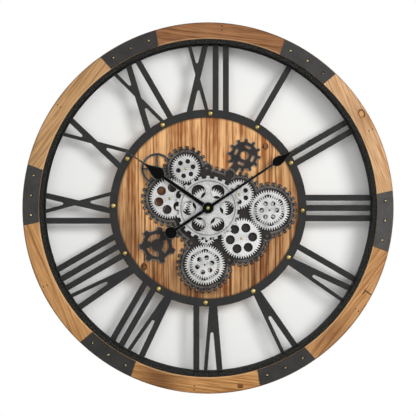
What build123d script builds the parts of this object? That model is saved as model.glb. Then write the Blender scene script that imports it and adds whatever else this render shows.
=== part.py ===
from build123d import *
import math
import os
from collections import namedtuple

# A round wall clock: a wooden rim on an iron hoop, cut Roman numerals, a wooden dial disc and an
# open train of turning gear wheels behind two spade hands.
# Frame: +X to the right, +Z up, +Y into the wall. The wall is the plane y = 0 and the clock faces -Y,
# so a depth of d in front of the wall lies at y = -d. The origin is on the hand axis, at the wall.
# Clock angles are degrees clockwise from twelve. All lengths are millimetres.

# Wooden rim, in segments
rim_radius = 300.0
rim_width = 27.0
rim_depth = 48.0
rim_segment_count = 6

# Steel plates over the joints of the rim
plate_thickness = 1.5
plate_inset = 1.3
plate_arc = 18.4
first_plate_angle = 34.1
joint_offset = 3.2

# Rolled angle-iron hoop inside the rim
hoop_gap = 0.4
hoop_flange_width = 7.0
hoop_sheet = 2.0
hoop_setback = 2.0

# Numerals cut from sheet and welded between the hoop and the inner ring
numeral_sheet = 2.0
bar_width = 9.7
thin_stroke_width = 6.1
five_width = 31.0
five_apex_width = 13.4
ten_width = 34.5
stroke_gap = 6.9
weld_gap = 0.1

# Inner ring, its studs and the dial disc behind it
ring_radius = 160.0
ring_width = 12.7
disc_cover = 9.0
disc_thickness = 9.0
stud_count = 12
first_stud_angle = 1.4
stud_head_radius = 4.7
stud_shoulder_height = 1.9
stud_shoulder_slope = 25.0
stud_crown_height = 1.3
stud_crown_slope = 52.0
stud_shank_width = 2.0
stud_length = 9.0
driven_clearance = 0.05

# Clock movement behind the disc, with the bushing that passes through it
movement_side = 56.0
movement_corner = 4.0
movement_front_shell = 7.0
movement_back_shell = 8.0
wall_clearance = 3.0
bushing_radius = 4.0
bushing_seat = 2.0
bushing_reach = 1.0
bushing_nut_flats = 11.0
bushing_hole_clearance = 0.3
running_clearance = 0.08
hour_tube_radius = 2.55
minute_shaft_radius = 1.65
shaft_tail = 4.0
knob_radius = 6.5
knob_thickness = 2.0
knob_gap = 0.4
knob_stem_radius = 2.0
knob_stem_length = 4.0
knob_offset = 14.0

# Gear train: module, tooth counts and the directions from each wheel to the next, anticlockwise from +X
gear_module = 1.28
addendum = 1.0
dedendum = 1.25
large_teeth = 50
small_teeth = 36
idler_teeth = 22
left_direction = 166.2
upper_left_direction = 61.9
upper_right_direction = 23.6
right_direction = -27.8
lower_right_direction = 225.4
idler_direction = 266.7
wheel_thickness = 3.0
wheel_lift = 2.0
layer_gap = 2.0
large_hole_radius = 7.4
large_hole_circle = 18.2
small_hole_radius = 3.8
small_hole_circle = 12.2
idler_hole_radius = 2.2
idler_hole_circle = 7.6
wheel_hole_count = 6
upper_left_hole_angle = 16.0
left_hole_angle = 13.0
upper_right_hole_angle = 57.5
right_hole_angle = 53.5
lower_right_hole_angle = 23.0
bottom_hole_angle = 2.0
idler_hole_angle = 0.0
centre_hole_angle = 48.0
right_front_hole_angle = 30.0
bottom_front_hole_angle = 15.0
pin_radius = 1.3
pin_head_radius = 2.0
pin_head_height = 1.0
pin_spigot_width = 1.6
pin_end_gap = 0.2
hub_wall = 3.0
arbor_radius = 2.0
arbor_seat = 5.0

# Large front wheel on the hand axis
front_wheel_radius = 52.0
front_wheel_teeth = 24
front_tooth_height = 4.2
front_tooth_tip = 0.35
front_tooth_base = 0.5
front_hole_radius = 11.5
front_hole_circle = 30.4
front_hub_radius = 9.0

# Moulded case on the disc that carries the wheels, with its own ornamental teeth
case_floor = 3.0
case_lip_height = 3.4
case_lip_width = 1.6
case_lip_clearance = 3.2
case_centre_clearance = 7.4
case_band = 2.0
case_tooth_height = 4.8
case_tooth_pitch = 9.4
case_ring_clearance = 0.6
case_nut_clearance = 2.5
ear_radius = 9.5
ear_reach = 6.5
screw_radius = 1.6
screw_head_radius = 3.2
screw_head_height = 2.0
screw_bite = 2.4
window_radius = 17.0
window_width = 13.0
window_arc = 150.0

# Ornaments moulded on the case: a blunt gear, a fine gear and a spoked ring
blunt_gear_angle = 233.7
blunt_gear_distance = 102.0
blunt_gear_radius = 30.6
blunt_gear_teeth = 7
blunt_tooth_height = 5.6
blunt_tooth_angle = 8.3
blunt_slot_count = 3
blunt_slot_radius = 14.4
blunt_slot_width = 6.4
blunt_slot_arc = 76.0
blunt_slot_angle = 95.0
fine_gear_angle = 34.6
fine_gear_distance = 103.7
fine_gear_radius = 27.4
fine_gear_teeth = 12
fine_tooth_height = 5.0
fine_tooth_angle = 8.0
fine_hole_radius = 6.1
fine_slot_count = 4
fine_slot_radius = 14.3
fine_slot_length = 8.7
fine_slot_width = 2.9
fine_slot_angle = 23.0
gear_tooth_tip = 0.3
gear_tooth_base = 0.52
blunt_neck_width = 10.0
fine_neck_width = 14.0
spoked_ring_radius = 25.8
spoked_ring_band = 4.0
spoked_ring_reach = 22.0
spoke_width = 3.4
spoke_hub_radius = 6.0

# Hands
hand_thickness = 1.4
hand_gap = 1.8
hour_angle = 304.8
hour_length = 162.5
hour_bar_width = 4.8
hour_spade_width = 21.0
hour_spade_start = 88.0
hour_spade_end = 126.0
hour_hub_radius = 7.5
minute_angle = 56.2
minute_length = 198.0
minute_bar_width = 4.0
minute_spade_width = 15.4
minute_spade_start = 123.0
minute_spade_end = 157.0
minute_hub_radius = 9.0
minute_tail_length = 72.0
minute_tail_bulb = 10.5
hand_waist_width = 3.0
hand_tip_width = 0.8
spade_belly_share = 0.36
spade_flare = (1, 0.35)
spade_return = (-0.12, 1)
cap_nut_radius = 3.3
cap_nut_height = 1.9
cap_nut_slope = 40.0
cap_nut_crown = 1.2
cap_nut_seat = 1.6

# Batteries, battery box with its switch, and the motor that turns the train
cell_radius = 7.25
cell_length = 50.5
cell_clearance = 0.25
box_wall = 1.6
box_floor = 1.4
box_distance = 92.0
switch_length = 5.0
switch_width = 4.0
switch_travel = 4.0
switch_depth = 6.0
switch_proud = 1.5
switch_gap = 0.3
switch_block = 8.0
motor_length = 46.0
motor_height = 34.0
motor_corner = 4.0
motor_offset = 8.0

# Keyhole hanger let into the back of the rim at twelve
hanger_length = 60.0
hanger_height = 21.0
hanger_corner = 4.0
hanger_thickness = 2.0
hanger_recess = 2.2
hanger_fit = 0.3
keyhole_radius = 5.0
keyhole_slot_width = 5.0
keyhole_slot_length = 8.0
keyhole_drop = 3.5
keyhole_room = 1.5
keyhole_depth = 10.0
hanger_screw_spacing = 46.0
hanger_screw_length = 16.0

# Pins, the bushing, the minute shaft, the arbor and the knob's stem are true rounds. Other rounds are drawn
# with straight chords, few on what is small or repeats
ring_sides = 60
bore_sides = 8
boss_sides = 12
cap_nut_sides = 10
hole_sides = 8
small_hole_sides = 6
hub_sides = 6
pin_sides = 8
stud_sides = 6
screw_sides = 6
cell_sides = 12
hand_boss_sides = 14
lobe_sides = 22
ear_sides = 10
nut_sides = 6
arc_steps = 5

# Depths in front of the wall, from the movement out to the hands
disc_back = wall_clearance + movement_back_shell + movement_front_shell
dial_depth = disc_back + disc_thickness
floor_front = dial_depth + case_floor
wheel_back = floor_front + wheel_lift
wheel_front = wheel_back + wheel_thickness
front_wheel_back = wheel_front + layer_gap
front_wheel_front = front_wheel_back + wheel_thickness
bushing_front = front_wheel_front + bushing_reach
hour_hand_back = bushing_front + hand_gap
hour_hand_front = hour_hand_back + hand_thickness
minute_hand_back = hour_hand_front + hand_gap
minute_hand_front = minute_hand_back + hand_thickness
hoop_front = rim_depth - hoop_setback

# Holes for what is driven into them
stud_hole_width = stud_shank_width + 2 * driven_clearance
pin_hole_width = pin_spigot_width + 2 * driven_clearance
screw_hole_radius = screw_radius + driven_clearance

# Radii and angles that follow from the sizes above
rim_inner = rim_radius - rim_width
rim_middle = rim_radius - rim_width / 2
hoop_radius = rim_inner - hoop_gap
hoop_inner = hoop_radius - hoop_flange_width
ring_inner = ring_radius - ring_width
disc_radius = ring_inner + disc_cover
stud_circle = ring_radius - ring_width / 2
nut_corner_radius = bushing_nut_flats / math.sqrt(3)
segment_angle = 360 / rim_segment_count
plate_angles = [first_plate_angle + n * segment_angle for n in range(rim_segment_count)]
stud_angles = [first_stud_angle + n * 360 / stud_count for n in range(stud_count)]
first_joint_angle = first_plate_angle + joint_offset - segment_angle

Wheel = namedtuple("Wheel", "teeth x z phase")


def dial_plane(depth, clock_angle=0.0, x=0.0, z=0.0):
    """A plane that faces the reader at a depth from the wall, its y axis along a clock angle."""
    turn = math.radians(clock_angle)
    return Plane(
        origin=(x, -depth, z),
        x_dir=(math.cos(turn), 0, -math.sin(turn)),
        z_dir=(0, -1, 0),
    )


def on_dial(radius, clock_angle):
    """The place on a dial plane at a radius and a clock angle."""
    turn = math.radians(clock_angle)
    return radius * math.sin(turn), radius * math.cos(turn)


def save(builder, name):
    """Names a finished piece and writes it to its own file."""
    builder.part.label = name
    export_step(builder.part, f"parts/{name}.step")


def meshed(driver, teeth, direction):
    """A wheel in mesh with another, in a direction from it, with a tooth in each gap."""
    turn = math.radians(direction)
    distance = gear_module * (driver.teeth + teeth) / 2
    driver_share = (direction - driver.phase) * driver.teeth / 360
    phase = direction + 180 - (0.5 - driver_share) * 360 / teeth
    x = driver.x + distance * math.cos(turn)
    z = driver.z + distance * math.sin(turn)
    return Wheel(teeth, x, z, phase)


def tip_radius(teeth):
    """The outside radius of a wheel with so many teeth."""
    return gear_module * (teeth / 2 + addendum)


def tooth_outline(teeth, profile, phase=0.0):
    """The points of a toothed edge; the profile lists radius and place within one tooth's pitch."""
    points = []
    for tooth in range(teeth):
        for radius, place in profile:
            turn = math.radians(phase + 360 * (tooth + place) / teeth)
            points.append((radius * math.cos(turn), radius * math.sin(turn)))
    return points


def blunt_teeth(teeth, tip, root, tip_share, base_share, phase):
    """A toothed edge with flat tips; the shares are of one tooth's pitch."""
    profile = (
        (root, -base_share / 2),
        (tip, -tip_share / 2),
        (tip, tip_share / 2),
        (root, base_share / 2),
    )
    return tooth_outline(teeth, profile, phase)


def curved_bar(radius, width, middle, arc, steps):
    """The points of a bar that curves about the origin, its middle in a direction from +X."""
    turns = [math.radians(middle + arc * (n / steps - 0.5)) for n in range(steps + 1)]
    outer = radius + width / 2
    inner = radius - width / 2
    outer_edge = [(outer * math.cos(turn), outer * math.sin(turn)) for turn in turns]
    inner_edge = [(inner * math.cos(turn), inner * math.sin(turn)) for turn in reversed(turns)]
    return outer_edge + inner_edge


def wheel_outline(wheel):
    """Pointed straight-sided teeth, as thick at the pitch circle as leaves a working backlash."""
    root = gear_module * (wheel.teeth / 2 - dedendum)
    return tooth_outline(wheel.teeth, ((tip_radius(wheel.teeth), 0), (root, 0.5)), wheel.phase)


def drilled(radius, sides=bore_sides, mode=Mode.SUBTRACT):
    """A hole drawn with few sides, all of them clear of a round of the given radius."""
    return RegularPolygon(radius, sides, major_radius=False, mode=mode)


def screw_from_behind(length):
    """A pan-head screw with its head below z = 0 and its shank above."""
    with BuildPart() as screw:
        with BuildSketch():
            RegularPolygon(screw_head_radius, screw_sides)
        extrude(amount=-screw_head_height)
        with BuildSketch():
            RegularPolygon(screw_radius, screw_sides)
        extrude(amount=length)
    return screw.part


# Wheels of the train, each placed from the one that it meshes with
centre_wheel = Wheel(large_teeth, 0.0, 0.0, 0.0)
left_wheel = meshed(centre_wheel, large_teeth, left_direction)
upper_left_wheel = meshed(left_wheel, small_teeth, upper_left_direction)
upper_right_wheel = meshed(centre_wheel, small_teeth, upper_right_direction)
right_wheel = meshed(upper_right_wheel, large_teeth, right_direction)
lower_right_wheel = meshed(right_wheel, large_teeth, lower_right_direction)
idler_wheel = meshed(centre_wheel, idler_teeth, idler_direction)
bottom_wheel = meshed(idler_wheel, large_teeth, idler_direction)
pinned_wheels = (
    upper_left_wheel,
    left_wheel,
    upper_right_wheel,
    lower_right_wheel,
    bottom_wheel,
    idler_wheel,
)

# Lobes of the case: centre and outer radius of the raised border
Lobe = namedtuple("Lobe", "x z radius")


def lobe_round(wheel):
    """The border of the case round a wheel."""
    return Lobe(wheel.x, wheel.z, tip_radius(wheel.teeth) + case_lip_clearance + case_lip_width)


def lobe_crossing(first, second, reach):
    """A point beyond where two borders cross, to the left of the line between them."""
    distance = math.hypot(second.x - first.x, second.z - first.z)
    along_x = (second.x - first.x) / distance
    along_z = (second.z - first.z) / distance
    along = (distance**2 + first.radius**2 - second.radius**2) / (2 * distance)
    out = math.sqrt(first.radius**2 - along**2) + reach
    return first.x + along * along_x - out * along_z, first.z + along * along_z + out * along_x


centre_lobe = Lobe(0.0, 0.0, front_wheel_radius + case_centre_clearance + case_lip_width)
upper_left_lobe = lobe_round(upper_left_wheel)
left_lobe = lobe_round(left_wheel)
upper_right_lobe = lobe_round(upper_right_wheel)
right_lobe = lobe_round(right_wheel)
lower_right_lobe = lobe_round(lower_right_wheel)
bottom_lobe = lobe_round(bottom_wheel)
lobes = (
    centre_lobe,
    upper_left_lobe,
    left_lobe,
    upper_right_lobe,
    right_lobe,
    lower_right_lobe,
    bottom_lobe,
)
# Rounded ears where two borders cross: all but the last take a screw, and that one carries an ornament
ear_lobes = (
    (upper_left_lobe, centre_lobe),
    (right_lobe, lower_right_lobe),
    (lower_right_lobe, bottom_lobe),
    (bottom_lobe, centre_lobe),
    (centre_lobe, upper_right_lobe),
)
ears = [lobe_crossing(first, second, ear_reach) for first, second in ear_lobes]
screwed_ears = ears[:-1]
neck_ear = ears[-1]
inner_corners = [
    (lobe.x, lobe.z)
    for lobe in (centre_lobe, bottom_lobe, lower_right_lobe, right_lobe, upper_right_lobe)
]
spoked_ring_place = lobe_crossing(left_lobe, upper_left_lobe, spoked_ring_reach)
blunt_gear_place = on_dial(blunt_gear_distance, blunt_gear_angle)
fine_gear_place = on_dial(fine_gear_distance, fine_gear_angle)

os.makedirs("parts", exist_ok=True)

# Rim segments, the first one with the pocket for the hanger at twelve
hanger_back = hanger_recess + hanger_thickness
hanger_screw_places = [(side * hanger_screw_spacing / 2, rim_middle) for side in (-1, 1)]
for index in range(rim_segment_count):
    segment_middle = 90 - first_joint_angle - (index + 0.5) * segment_angle
    segment_steps = ring_sides // rim_segment_count
    with BuildPart() as rim_segment:
        with BuildSketch(dial_plane(0)):
            segment = (rim_middle, rim_width, segment_middle, segment_angle, segment_steps)
            Polygon(*curved_bar(*segment), align=None)
        extrude(amount=rim_depth)
        if index == 0:
            with BuildSketch(dial_plane(0)):
                with Locations((0, rim_middle)):
                    Rectangle(hanger_length + 2 * hanger_fit, hanger_height + 2 * hanger_fit)
            extrude(amount=hanger_back, mode=Mode.SUBTRACT)
            with BuildSketch(dial_plane(hanger_back)):
                with Locations((0, rim_middle - keyhole_drop + keyhole_slot_length / 2)):
                    Rectangle(2 * (keyhole_radius + keyhole_room), keyhole_slot_length + 2 * keyhole_radius)
            extrude(amount=keyhole_depth, mode=Mode.SUBTRACT)
            with BuildSketch(dial_plane(hanger_back)):
                with Locations(*hanger_screw_places):
                    RegularPolygon(screw_hole_radius, screw_sides)
            extrude(amount=hanger_screw_length - hanger_thickness, mode=Mode.SUBTRACT)
    save(rim_segment, f"rim_segment_{index + 1}")

# Plates over the rim joints
with BuildPart() as rim_plates:
    with BuildSketch(dial_plane(rim_depth)):
        for plate_angle in plate_angles:
            plate = (rim_middle, rim_width - 2 * plate_inset, 90 - plate_angle, plate_arc, arc_steps)
            Polygon(*curved_bar(*plate), align=None)
    extrude(amount=plate_thickness)
save(rim_plates, "rim_plates")

# Hoop: an angle section with its flange to the front and its wall inside
with BuildPart() as rim_hoop:
    with BuildSketch(dial_plane(0)):
        RegularPolygon(hoop_inner + hoop_sheet, ring_sides, major_radius=False)
        drilled(hoop_inner, ring_sides)
    extrude(amount=hoop_front)
    with BuildSketch(dial_plane(hoop_front)):
        RegularPolygon(hoop_radius, ring_sides)
        drilled(hoop_inner, ring_sides)
    extrude(amount=-hoop_sheet)
save(rim_hoop, "rim_hoop")

# Numerals, tops outwards, each cut to the curve of the hoop and of the inner ring
numeral_words = ("I", "II", "III", "IV", "V", "VI", "VII", "VIII", "IX", "X", "XI", "XII")
letter_widths = {"I": bar_width, "V": five_width, "X": ten_width}
hour_step = 360 / len(numeral_words)
numeral_inner = ring_radius + weld_gap
numeral_outer = hoop_inner - weld_gap
stroke_overrun = ring_width
stroke_foot = numeral_inner - stroke_overrun
stroke_head = numeral_outer + stroke_overrun


def stroke(foot_x, head_x, width):
    """A straight stroke between the ring and the hoop; x is its middle at either end."""
    lean = (head_x - foot_x) / (numeral_outer - numeral_inner)
    low = foot_x - lean * stroke_overrun
    high = head_x + lean * stroke_overrun
    Polygon(
        (low - width / 2, stroke_foot),
        (low + width / 2, stroke_foot),
        (high + width / 2, stroke_head),
        (high - width / 2, stroke_head),
        align=None,
    )


for index, word in enumerate(numeral_words):
    whole_width = sum(letter_widths[letter] for letter in word) + stroke_gap * (len(word) - 1)
    left = -whole_width / 2
    with BuildPart() as numeral:
        with BuildSketch(dial_plane(dial_depth, hour_step * (index + 1))):
            for letter in word:
                width = letter_widths[letter]
                right = left + width
                middle = left + width / 2
                if letter == "I":
                    stroke(middle, middle, bar_width)
                elif letter == "V":
                    stroke(middle - (five_apex_width - bar_width) / 2, left + bar_width / 2, bar_width)
                    thin_foot = middle + (five_apex_width - thin_stroke_width) / 2
                    stroke(thin_foot, right - thin_stroke_width / 2, thin_stroke_width)
                else:
                    stroke(left + bar_width / 2, right - bar_width / 2, bar_width)
                    stroke(right - thin_stroke_width / 2, left + thin_stroke_width / 2, thin_stroke_width)
                left = right + stroke_gap
            drilled(numeral_outer, ring_sides, Mode.INTERSECT)
            RegularPolygon(numeral_inner, ring_sides, mode=Mode.SUBTRACT)
        extrude(amount=numeral_sheet)
    save(numeral, f"numeral_{index + 1}")

# Inner ring with its studs, on the dial disc
with BuildPart() as inner_ring:
    with BuildSketch(dial_plane(dial_depth)):
        RegularPolygon(ring_radius, ring_sides)
        drilled(ring_inner, ring_sides)
        with Locations(*[on_dial(stud_circle, angle) for angle in stud_angles]):
            Rectangle(stud_hole_width, stud_hole_width, mode=Mode.SUBTRACT)
    extrude(amount=numeral_sheet)
save(inner_ring, "inner_ring")

with BuildPart() as dial_stud:
    with BuildSketch():
        RegularPolygon(stud_head_radius, stud_sides)
    extrude(amount=stud_shoulder_height, taper=stud_shoulder_slope)
    extrude(dial_stud.faces().sort_by(Axis.Z)[-1], amount=stud_crown_height, taper=stud_crown_slope)
    with BuildSketch():
        Rectangle(stud_shank_width, stud_shank_width)
    extrude(amount=-stud_length)

with BuildPart(dial_plane(dial_depth + numeral_sheet)) as dial_studs:
    with Locations(*[on_dial(stud_circle, angle) for angle in stud_angles]):
        add(dial_stud.part)
save(dial_studs, "dial_studs")

with BuildPart() as dial_disc:
    with BuildSketch(dial_plane(disc_back)):
        RegularPolygon(disc_radius, ring_sides)
        drilled(bushing_radius + bushing_hole_clearance)
        with Locations((right_wheel.x, right_wheel.z)):
            drilled(arbor_radius + bushing_hole_clearance)
        with Locations(*screwed_ears):
            RegularPolygon(screw_hole_radius, screw_sides, mode=Mode.SUBTRACT)
    extrude(amount=disc_thickness)
    with BuildSketch(dial_plane(dial_depth)):
        with Locations(*[on_dial(stud_circle, angle) for angle in stud_angles]):
            Rectangle(stud_hole_width, stud_hole_width)
    extrude(amount=numeral_sheet - stud_length, mode=Mode.SUBTRACT)
save(dial_disc, "dial_disc")

# Gear case: a floor with ornamental teeth, a raised border round the wheels, windows and ornaments
with BuildPart() as gear_case:
    with BuildSketch(dial_plane(dial_depth)):
        with Locations(spoked_ring_place):
            RegularPolygon(spoked_ring_radius, lobe_sides)
            RegularPolygon(spoked_ring_radius - spoked_ring_band, lobe_sides, mode=Mode.SUBTRACT)
            for slant in (0, 90):
                Rectangle(2 * spoked_ring_radius - spoked_ring_band, spoke_width, rotation=slant)
            RegularPolygon(spoke_hub_radius, ear_sides)
        for lobe in lobes:
            tooth_root = lobe.radius + case_band
            tooth_count = round(math.tau * tooth_root / case_tooth_pitch)
            tooth_form = ((tooth_root + case_tooth_height, 0), (tooth_root, 0.5))
            with Locations((lobe.x, lobe.z)):
                Polygon(*tooth_outline(tooth_count, tooth_form), align=None)
        with Locations(*ears):
            RegularPolygon(ear_radius, ear_sides)
        with Locations(blunt_gear_place):
            blunt_root = blunt_gear_radius - blunt_tooth_height
            blunt_form = (blunt_gear_radius, blunt_root, gear_tooth_tip, gear_tooth_base)
            Polygon(*blunt_teeth(blunt_gear_teeth, *blunt_form, 90 - blunt_tooth_angle), align=None)
        with Locations(fine_gear_place):
            fine_root = fine_gear_radius - fine_tooth_height
            fine_form = (fine_gear_radius, fine_root, gear_tooth_tip, gear_tooth_base)
            Polygon(*blunt_teeth(fine_gear_teeth, *fine_form, 90 - fine_tooth_angle), align=None)
        for end, begin, neck_width in (
            (fine_gear_place, neck_ear, fine_neck_width),
            (blunt_gear_place, (0.0, 0.0), blunt_neck_width),
        ):
            length = math.hypot(end[0] - begin[0], end[1] - begin[1])
            slant = math.degrees(math.atan2(end[1] - begin[1], end[0] - begin[0]))
            with Locations(((end[0] + begin[0]) / 2, (end[1] + begin[1]) / 2)):
                Rectangle(length, neck_width, rotation=slant)
        drilled(ring_inner - case_ring_clearance, ring_sides, Mode.INTERSECT)
    extrude(amount=case_floor)
    with BuildSketch(dial_plane(floor_front)):
        for lobe in lobes:
            with Locations((lobe.x, lobe.z)):
                RegularPolygon(lobe.radius, lobe_sides)
        with Locations(*ears):
            RegularPolygon(ear_radius, ear_sides)
        for lobe in lobes:
            with Locations((lobe.x, lobe.z)):
                RegularPolygon(lobe.radius - case_lip_width, lobe_sides, mode=Mode.SUBTRACT)
        with Locations(*ears):
            RegularPolygon(ear_radius - case_lip_width, ear_sides, mode=Mode.SUBTRACT)
        Polygon(*inner_corners, align=None, mode=Mode.SUBTRACT)
        for ear, (first, second) in zip(ears, ear_lobes):
            Polygon((first.x, first.z), (second.x, second.z), ear, align=None, mode=Mode.SUBTRACT)
        drilled(ring_inner - case_ring_clearance, ring_sides, Mode.INTERSECT)
    extrude(amount=case_lip_height)
    with BuildSketch(dial_plane(dial_depth)):
        drilled(nut_corner_radius + case_nut_clearance, mode=Mode.ADD)
        with Locations((right_wheel.x, right_wheel.z)):
            drilled(arbor_radius + running_clearance, mode=Mode.ADD)
        with Locations(*[(wheel.x, wheel.z) for wheel in pinned_wheels]):
            Rectangle(pin_hole_width, pin_hole_width)
        for lobe, middle in ((left_lobe, left_direction), (bottom_lobe, idler_direction)):
            with Locations((lobe.x, lobe.z)):
                window = (window_radius, window_width, middle, window_arc, arc_steps)
                Polygon(*curved_bar(*window), align=None)
        with Locations(blunt_gear_place):
            for slot in range(blunt_slot_count):
                slot_middle = 90 - blunt_slot_angle - slot * 360 / blunt_slot_count
                slot_form = (blunt_slot_radius, blunt_slot_width, slot_middle, blunt_slot_arc, arc_steps)
                Polygon(*curved_bar(*slot_form), align=None)
        with Locations(fine_gear_place):
            drilled(fine_hole_radius, mode=Mode.ADD)
            with PolarLocations(fine_slot_radius, fine_slot_count, start_angle=90 - fine_slot_angle):
                Rectangle(fine_slot_width, fine_slot_length)
    extrude(amount=case_floor, mode=Mode.SUBTRACT)
    with BuildSketch(dial_plane(dial_depth)):
        with Locations(*screwed_ears):
            RegularPolygon(screw_hole_radius, screw_sides)
    extrude(amount=screw_bite, mode=Mode.SUBTRACT)
save(gear_case, "gear_case")

case_screw = screw_from_behind(disc_thickness + screw_bite)
with BuildPart(dial_plane(disc_back)) as case_screws:
    with Locations(*screwed_ears):
        add(case_screw)
save(case_screws, "case_screws")

# Pins that the wheels turn on, driven into the floor of the case
with BuildPart() as axle_pins:
    for wheel in pinned_wheels:
        with BuildSketch(dial_plane(dial_depth, 0, wheel.x, wheel.z)):
            Rectangle(pin_spigot_width, pin_spigot_width)
        extrude(amount=case_floor)
        with BuildSketch(dial_plane(floor_front, 0, wheel.x, wheel.z)):
            Circle(pin_radius)
        extrude(amount=wheel_front + pin_end_gap - floor_front)
        with BuildSketch(dial_plane(wheel_front + pin_end_gap, 0, wheel.x, wheel.z)):
            RegularPolygon(pin_head_radius, pin_sides)
        extrude(amount=pin_head_height)
save(axle_pins, "axle_pins")

# Wheels: a toothed sheet with a ring of holes and a hub that stands clear of the case floor
pin_bore = pin_radius + running_clearance
pin_hub = pin_bore + hub_wall
hub_back = floor_front + pin_end_gap
large_holes = (large_hole_circle, large_hole_radius, hole_sides)
small_holes = (small_hole_circle, small_hole_radius, small_hole_sides)
idler_holes = (idler_hole_circle, idler_hole_radius, hub_sides)


def wheel_sheet(wheel, hole_circle, hole_radius, sides, hole_angle):
    """The flat outline of a wheel about its own centre, its first hole at a clock angle."""
    with BuildSketch() as sheet:
        Polygon(*wheel_outline(wheel), align=None)
        with PolarLocations(hole_circle, wheel_hole_count, start_angle=90 - hole_angle):
            RegularPolygon(hole_radius, sides, mode=Mode.SUBTRACT)
    return sheet.sketch


for wheel, holes, hole_angle, name in (
    (upper_left_wheel, small_holes, upper_left_hole_angle, "upper_left_wheel"),
    (left_wheel, large_holes, left_hole_angle, "left_wheel"),
    (upper_right_wheel, small_holes, upper_right_hole_angle, "upper_right_wheel"),
    (lower_right_wheel, large_holes, lower_right_hole_angle, "lower_right_wheel"),
    (idler_wheel, idler_holes, idler_hole_angle, "idler_wheel"),
):
    with BuildPart() as pinned_wheel:
        with BuildSketch(dial_plane(wheel_back, 0, wheel.x, wheel.z)):
            add(wheel_sheet(wheel, *holes, hole_angle))
        extrude(amount=wheel_thickness)
        with BuildSketch(dial_plane(hub_back, 0, wheel.x, wheel.z)):
            RegularPolygon(pin_hub, hub_sides)
        extrude(amount=wheel_back - hub_back)
        with BuildSketch(dial_plane(hub_back, 0, wheel.x, wheel.z)):
            drilled(pin_bore, mode=Mode.ADD)
        extrude(amount=wheel_front - hub_back, mode=Mode.SUBTRACT)
    save(pinned_wheel, name)

# The wheel at the bottom turns on its pin, with a ring round the pin's head for the wheel in front
with BuildPart() as bottom_carrier:
    with BuildSketch(dial_plane(wheel_back, 0, bottom_wheel.x, bottom_wheel.z)):
        add(wheel_sheet(bottom_wheel, *large_holes, bottom_hole_angle))
    extrude(amount=wheel_thickness)
    with BuildSketch(dial_plane(hub_back, 0, bottom_wheel.x, bottom_wheel.z)):
        RegularPolygon(pin_hub, hub_sides)
    extrude(amount=wheel_back - hub_back)
    with BuildSketch(dial_plane(hub_back, 0, bottom_wheel.x, bottom_wheel.z)):
        drilled(pin_bore, mode=Mode.ADD)
    extrude(amount=wheel_front - hub_back, mode=Mode.SUBTRACT)
    with BuildSketch(dial_plane(wheel_front, 0, bottom_wheel.x, bottom_wheel.z)):
        drilled(pin_head_radius + hub_wall, hub_sides, Mode.ADD)
        drilled(pin_head_radius + pin_end_gap, hub_sides)
    extrude(amount=layer_gap)
save(bottom_carrier, "bottom_wheel")

# The wheel on the right is driven by the motor through its own arbor
with BuildPart() as right_driven:
    with BuildSketch(dial_plane(wheel_back, 0, right_wheel.x, right_wheel.z)):
        add(wheel_sheet(right_wheel, *large_holes, right_hole_angle))
    extrude(amount=wheel_thickness)
    with BuildSketch(dial_plane(hub_back, 0, right_wheel.x, right_wheel.z)):
        RegularPolygon(pin_hub, hub_sides)
    extrude(amount=front_wheel_back - hub_back)
    with BuildSketch(dial_plane(disc_back - arbor_seat, 0, right_wheel.x, right_wheel.z)):
        Circle(arbor_radius)
    extrude(amount=hub_back - disc_back + arbor_seat)
save(right_driven, "right_wheel")

# Smaller wheels fixed in front of the bottom and right wheels
for carrier, hole_angle, name in (
    (bottom_wheel, bottom_front_hole_angle, "bottom_front_wheel"),
    (right_wheel, right_front_hole_angle, "right_front_wheel"),
):
    front_blank = Wheel(small_teeth, carrier.x, carrier.z, 90 - hole_angle)
    with BuildPart() as front_small_wheel:
        with BuildSketch(dial_plane(front_wheel_back, 0, carrier.x, carrier.z)):
            add(wheel_sheet(front_blank, *small_holes, hole_angle))
        extrude(amount=wheel_thickness)
    save(front_small_wheel, name)

# The two wheels on the hand axis turn together on the bushing
bushing_bore = bushing_radius + running_clearance
with BuildPart() as centre_rear:
    with BuildSketch(dial_plane(wheel_back)):
        add(wheel_sheet(centre_wheel, *large_holes, centre_hole_angle))
    extrude(amount=wheel_thickness)
    with BuildSketch(dial_plane(hub_back)):
        RegularPolygon(front_hub_radius, boss_sides)
    extrude(amount=front_wheel_back - hub_back)
    with BuildSketch(dial_plane(hub_back)):
        drilled(bushing_bore, mode=Mode.ADD)
    extrude(amount=front_wheel_back - hub_back, mode=Mode.SUBTRACT)
save(centre_rear, "centre_wheel")

with BuildPart() as centre_front_wheel:
    with BuildSketch(dial_plane(front_wheel_back)):
        front_root = front_wheel_radius - front_tooth_height
        front_form = (front_wheel_radius, front_root, front_tooth_tip, front_tooth_base)
        Polygon(*blunt_teeth(front_wheel_teeth, *front_form, 90), align=None)
        with PolarLocations(front_hole_circle, wheel_hole_count):
            RegularPolygon(front_hole_radius, boss_sides, mode=Mode.SUBTRACT)
        drilled(bushing_bore)
    extrude(amount=wheel_thickness)
save(centre_front_wheel, "centre_front_wheel")

# Movement: two shells with an open battery bay, the bushing and its nut
bay_length = cell_length + 2 * cell_clearance
bay_height = 2 * (cell_radius + cell_clearance)
bay_middle = box_wall + bay_height / 2 - movement_side / 2
shell_joint = wall_clearance + movement_back_shell
cell_depth = disc_back - box_floor - cell_clearance - cell_radius
tube_bore = hour_tube_radius + running_clearance
knob_hole = knob_stem_radius + running_clearance

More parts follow.
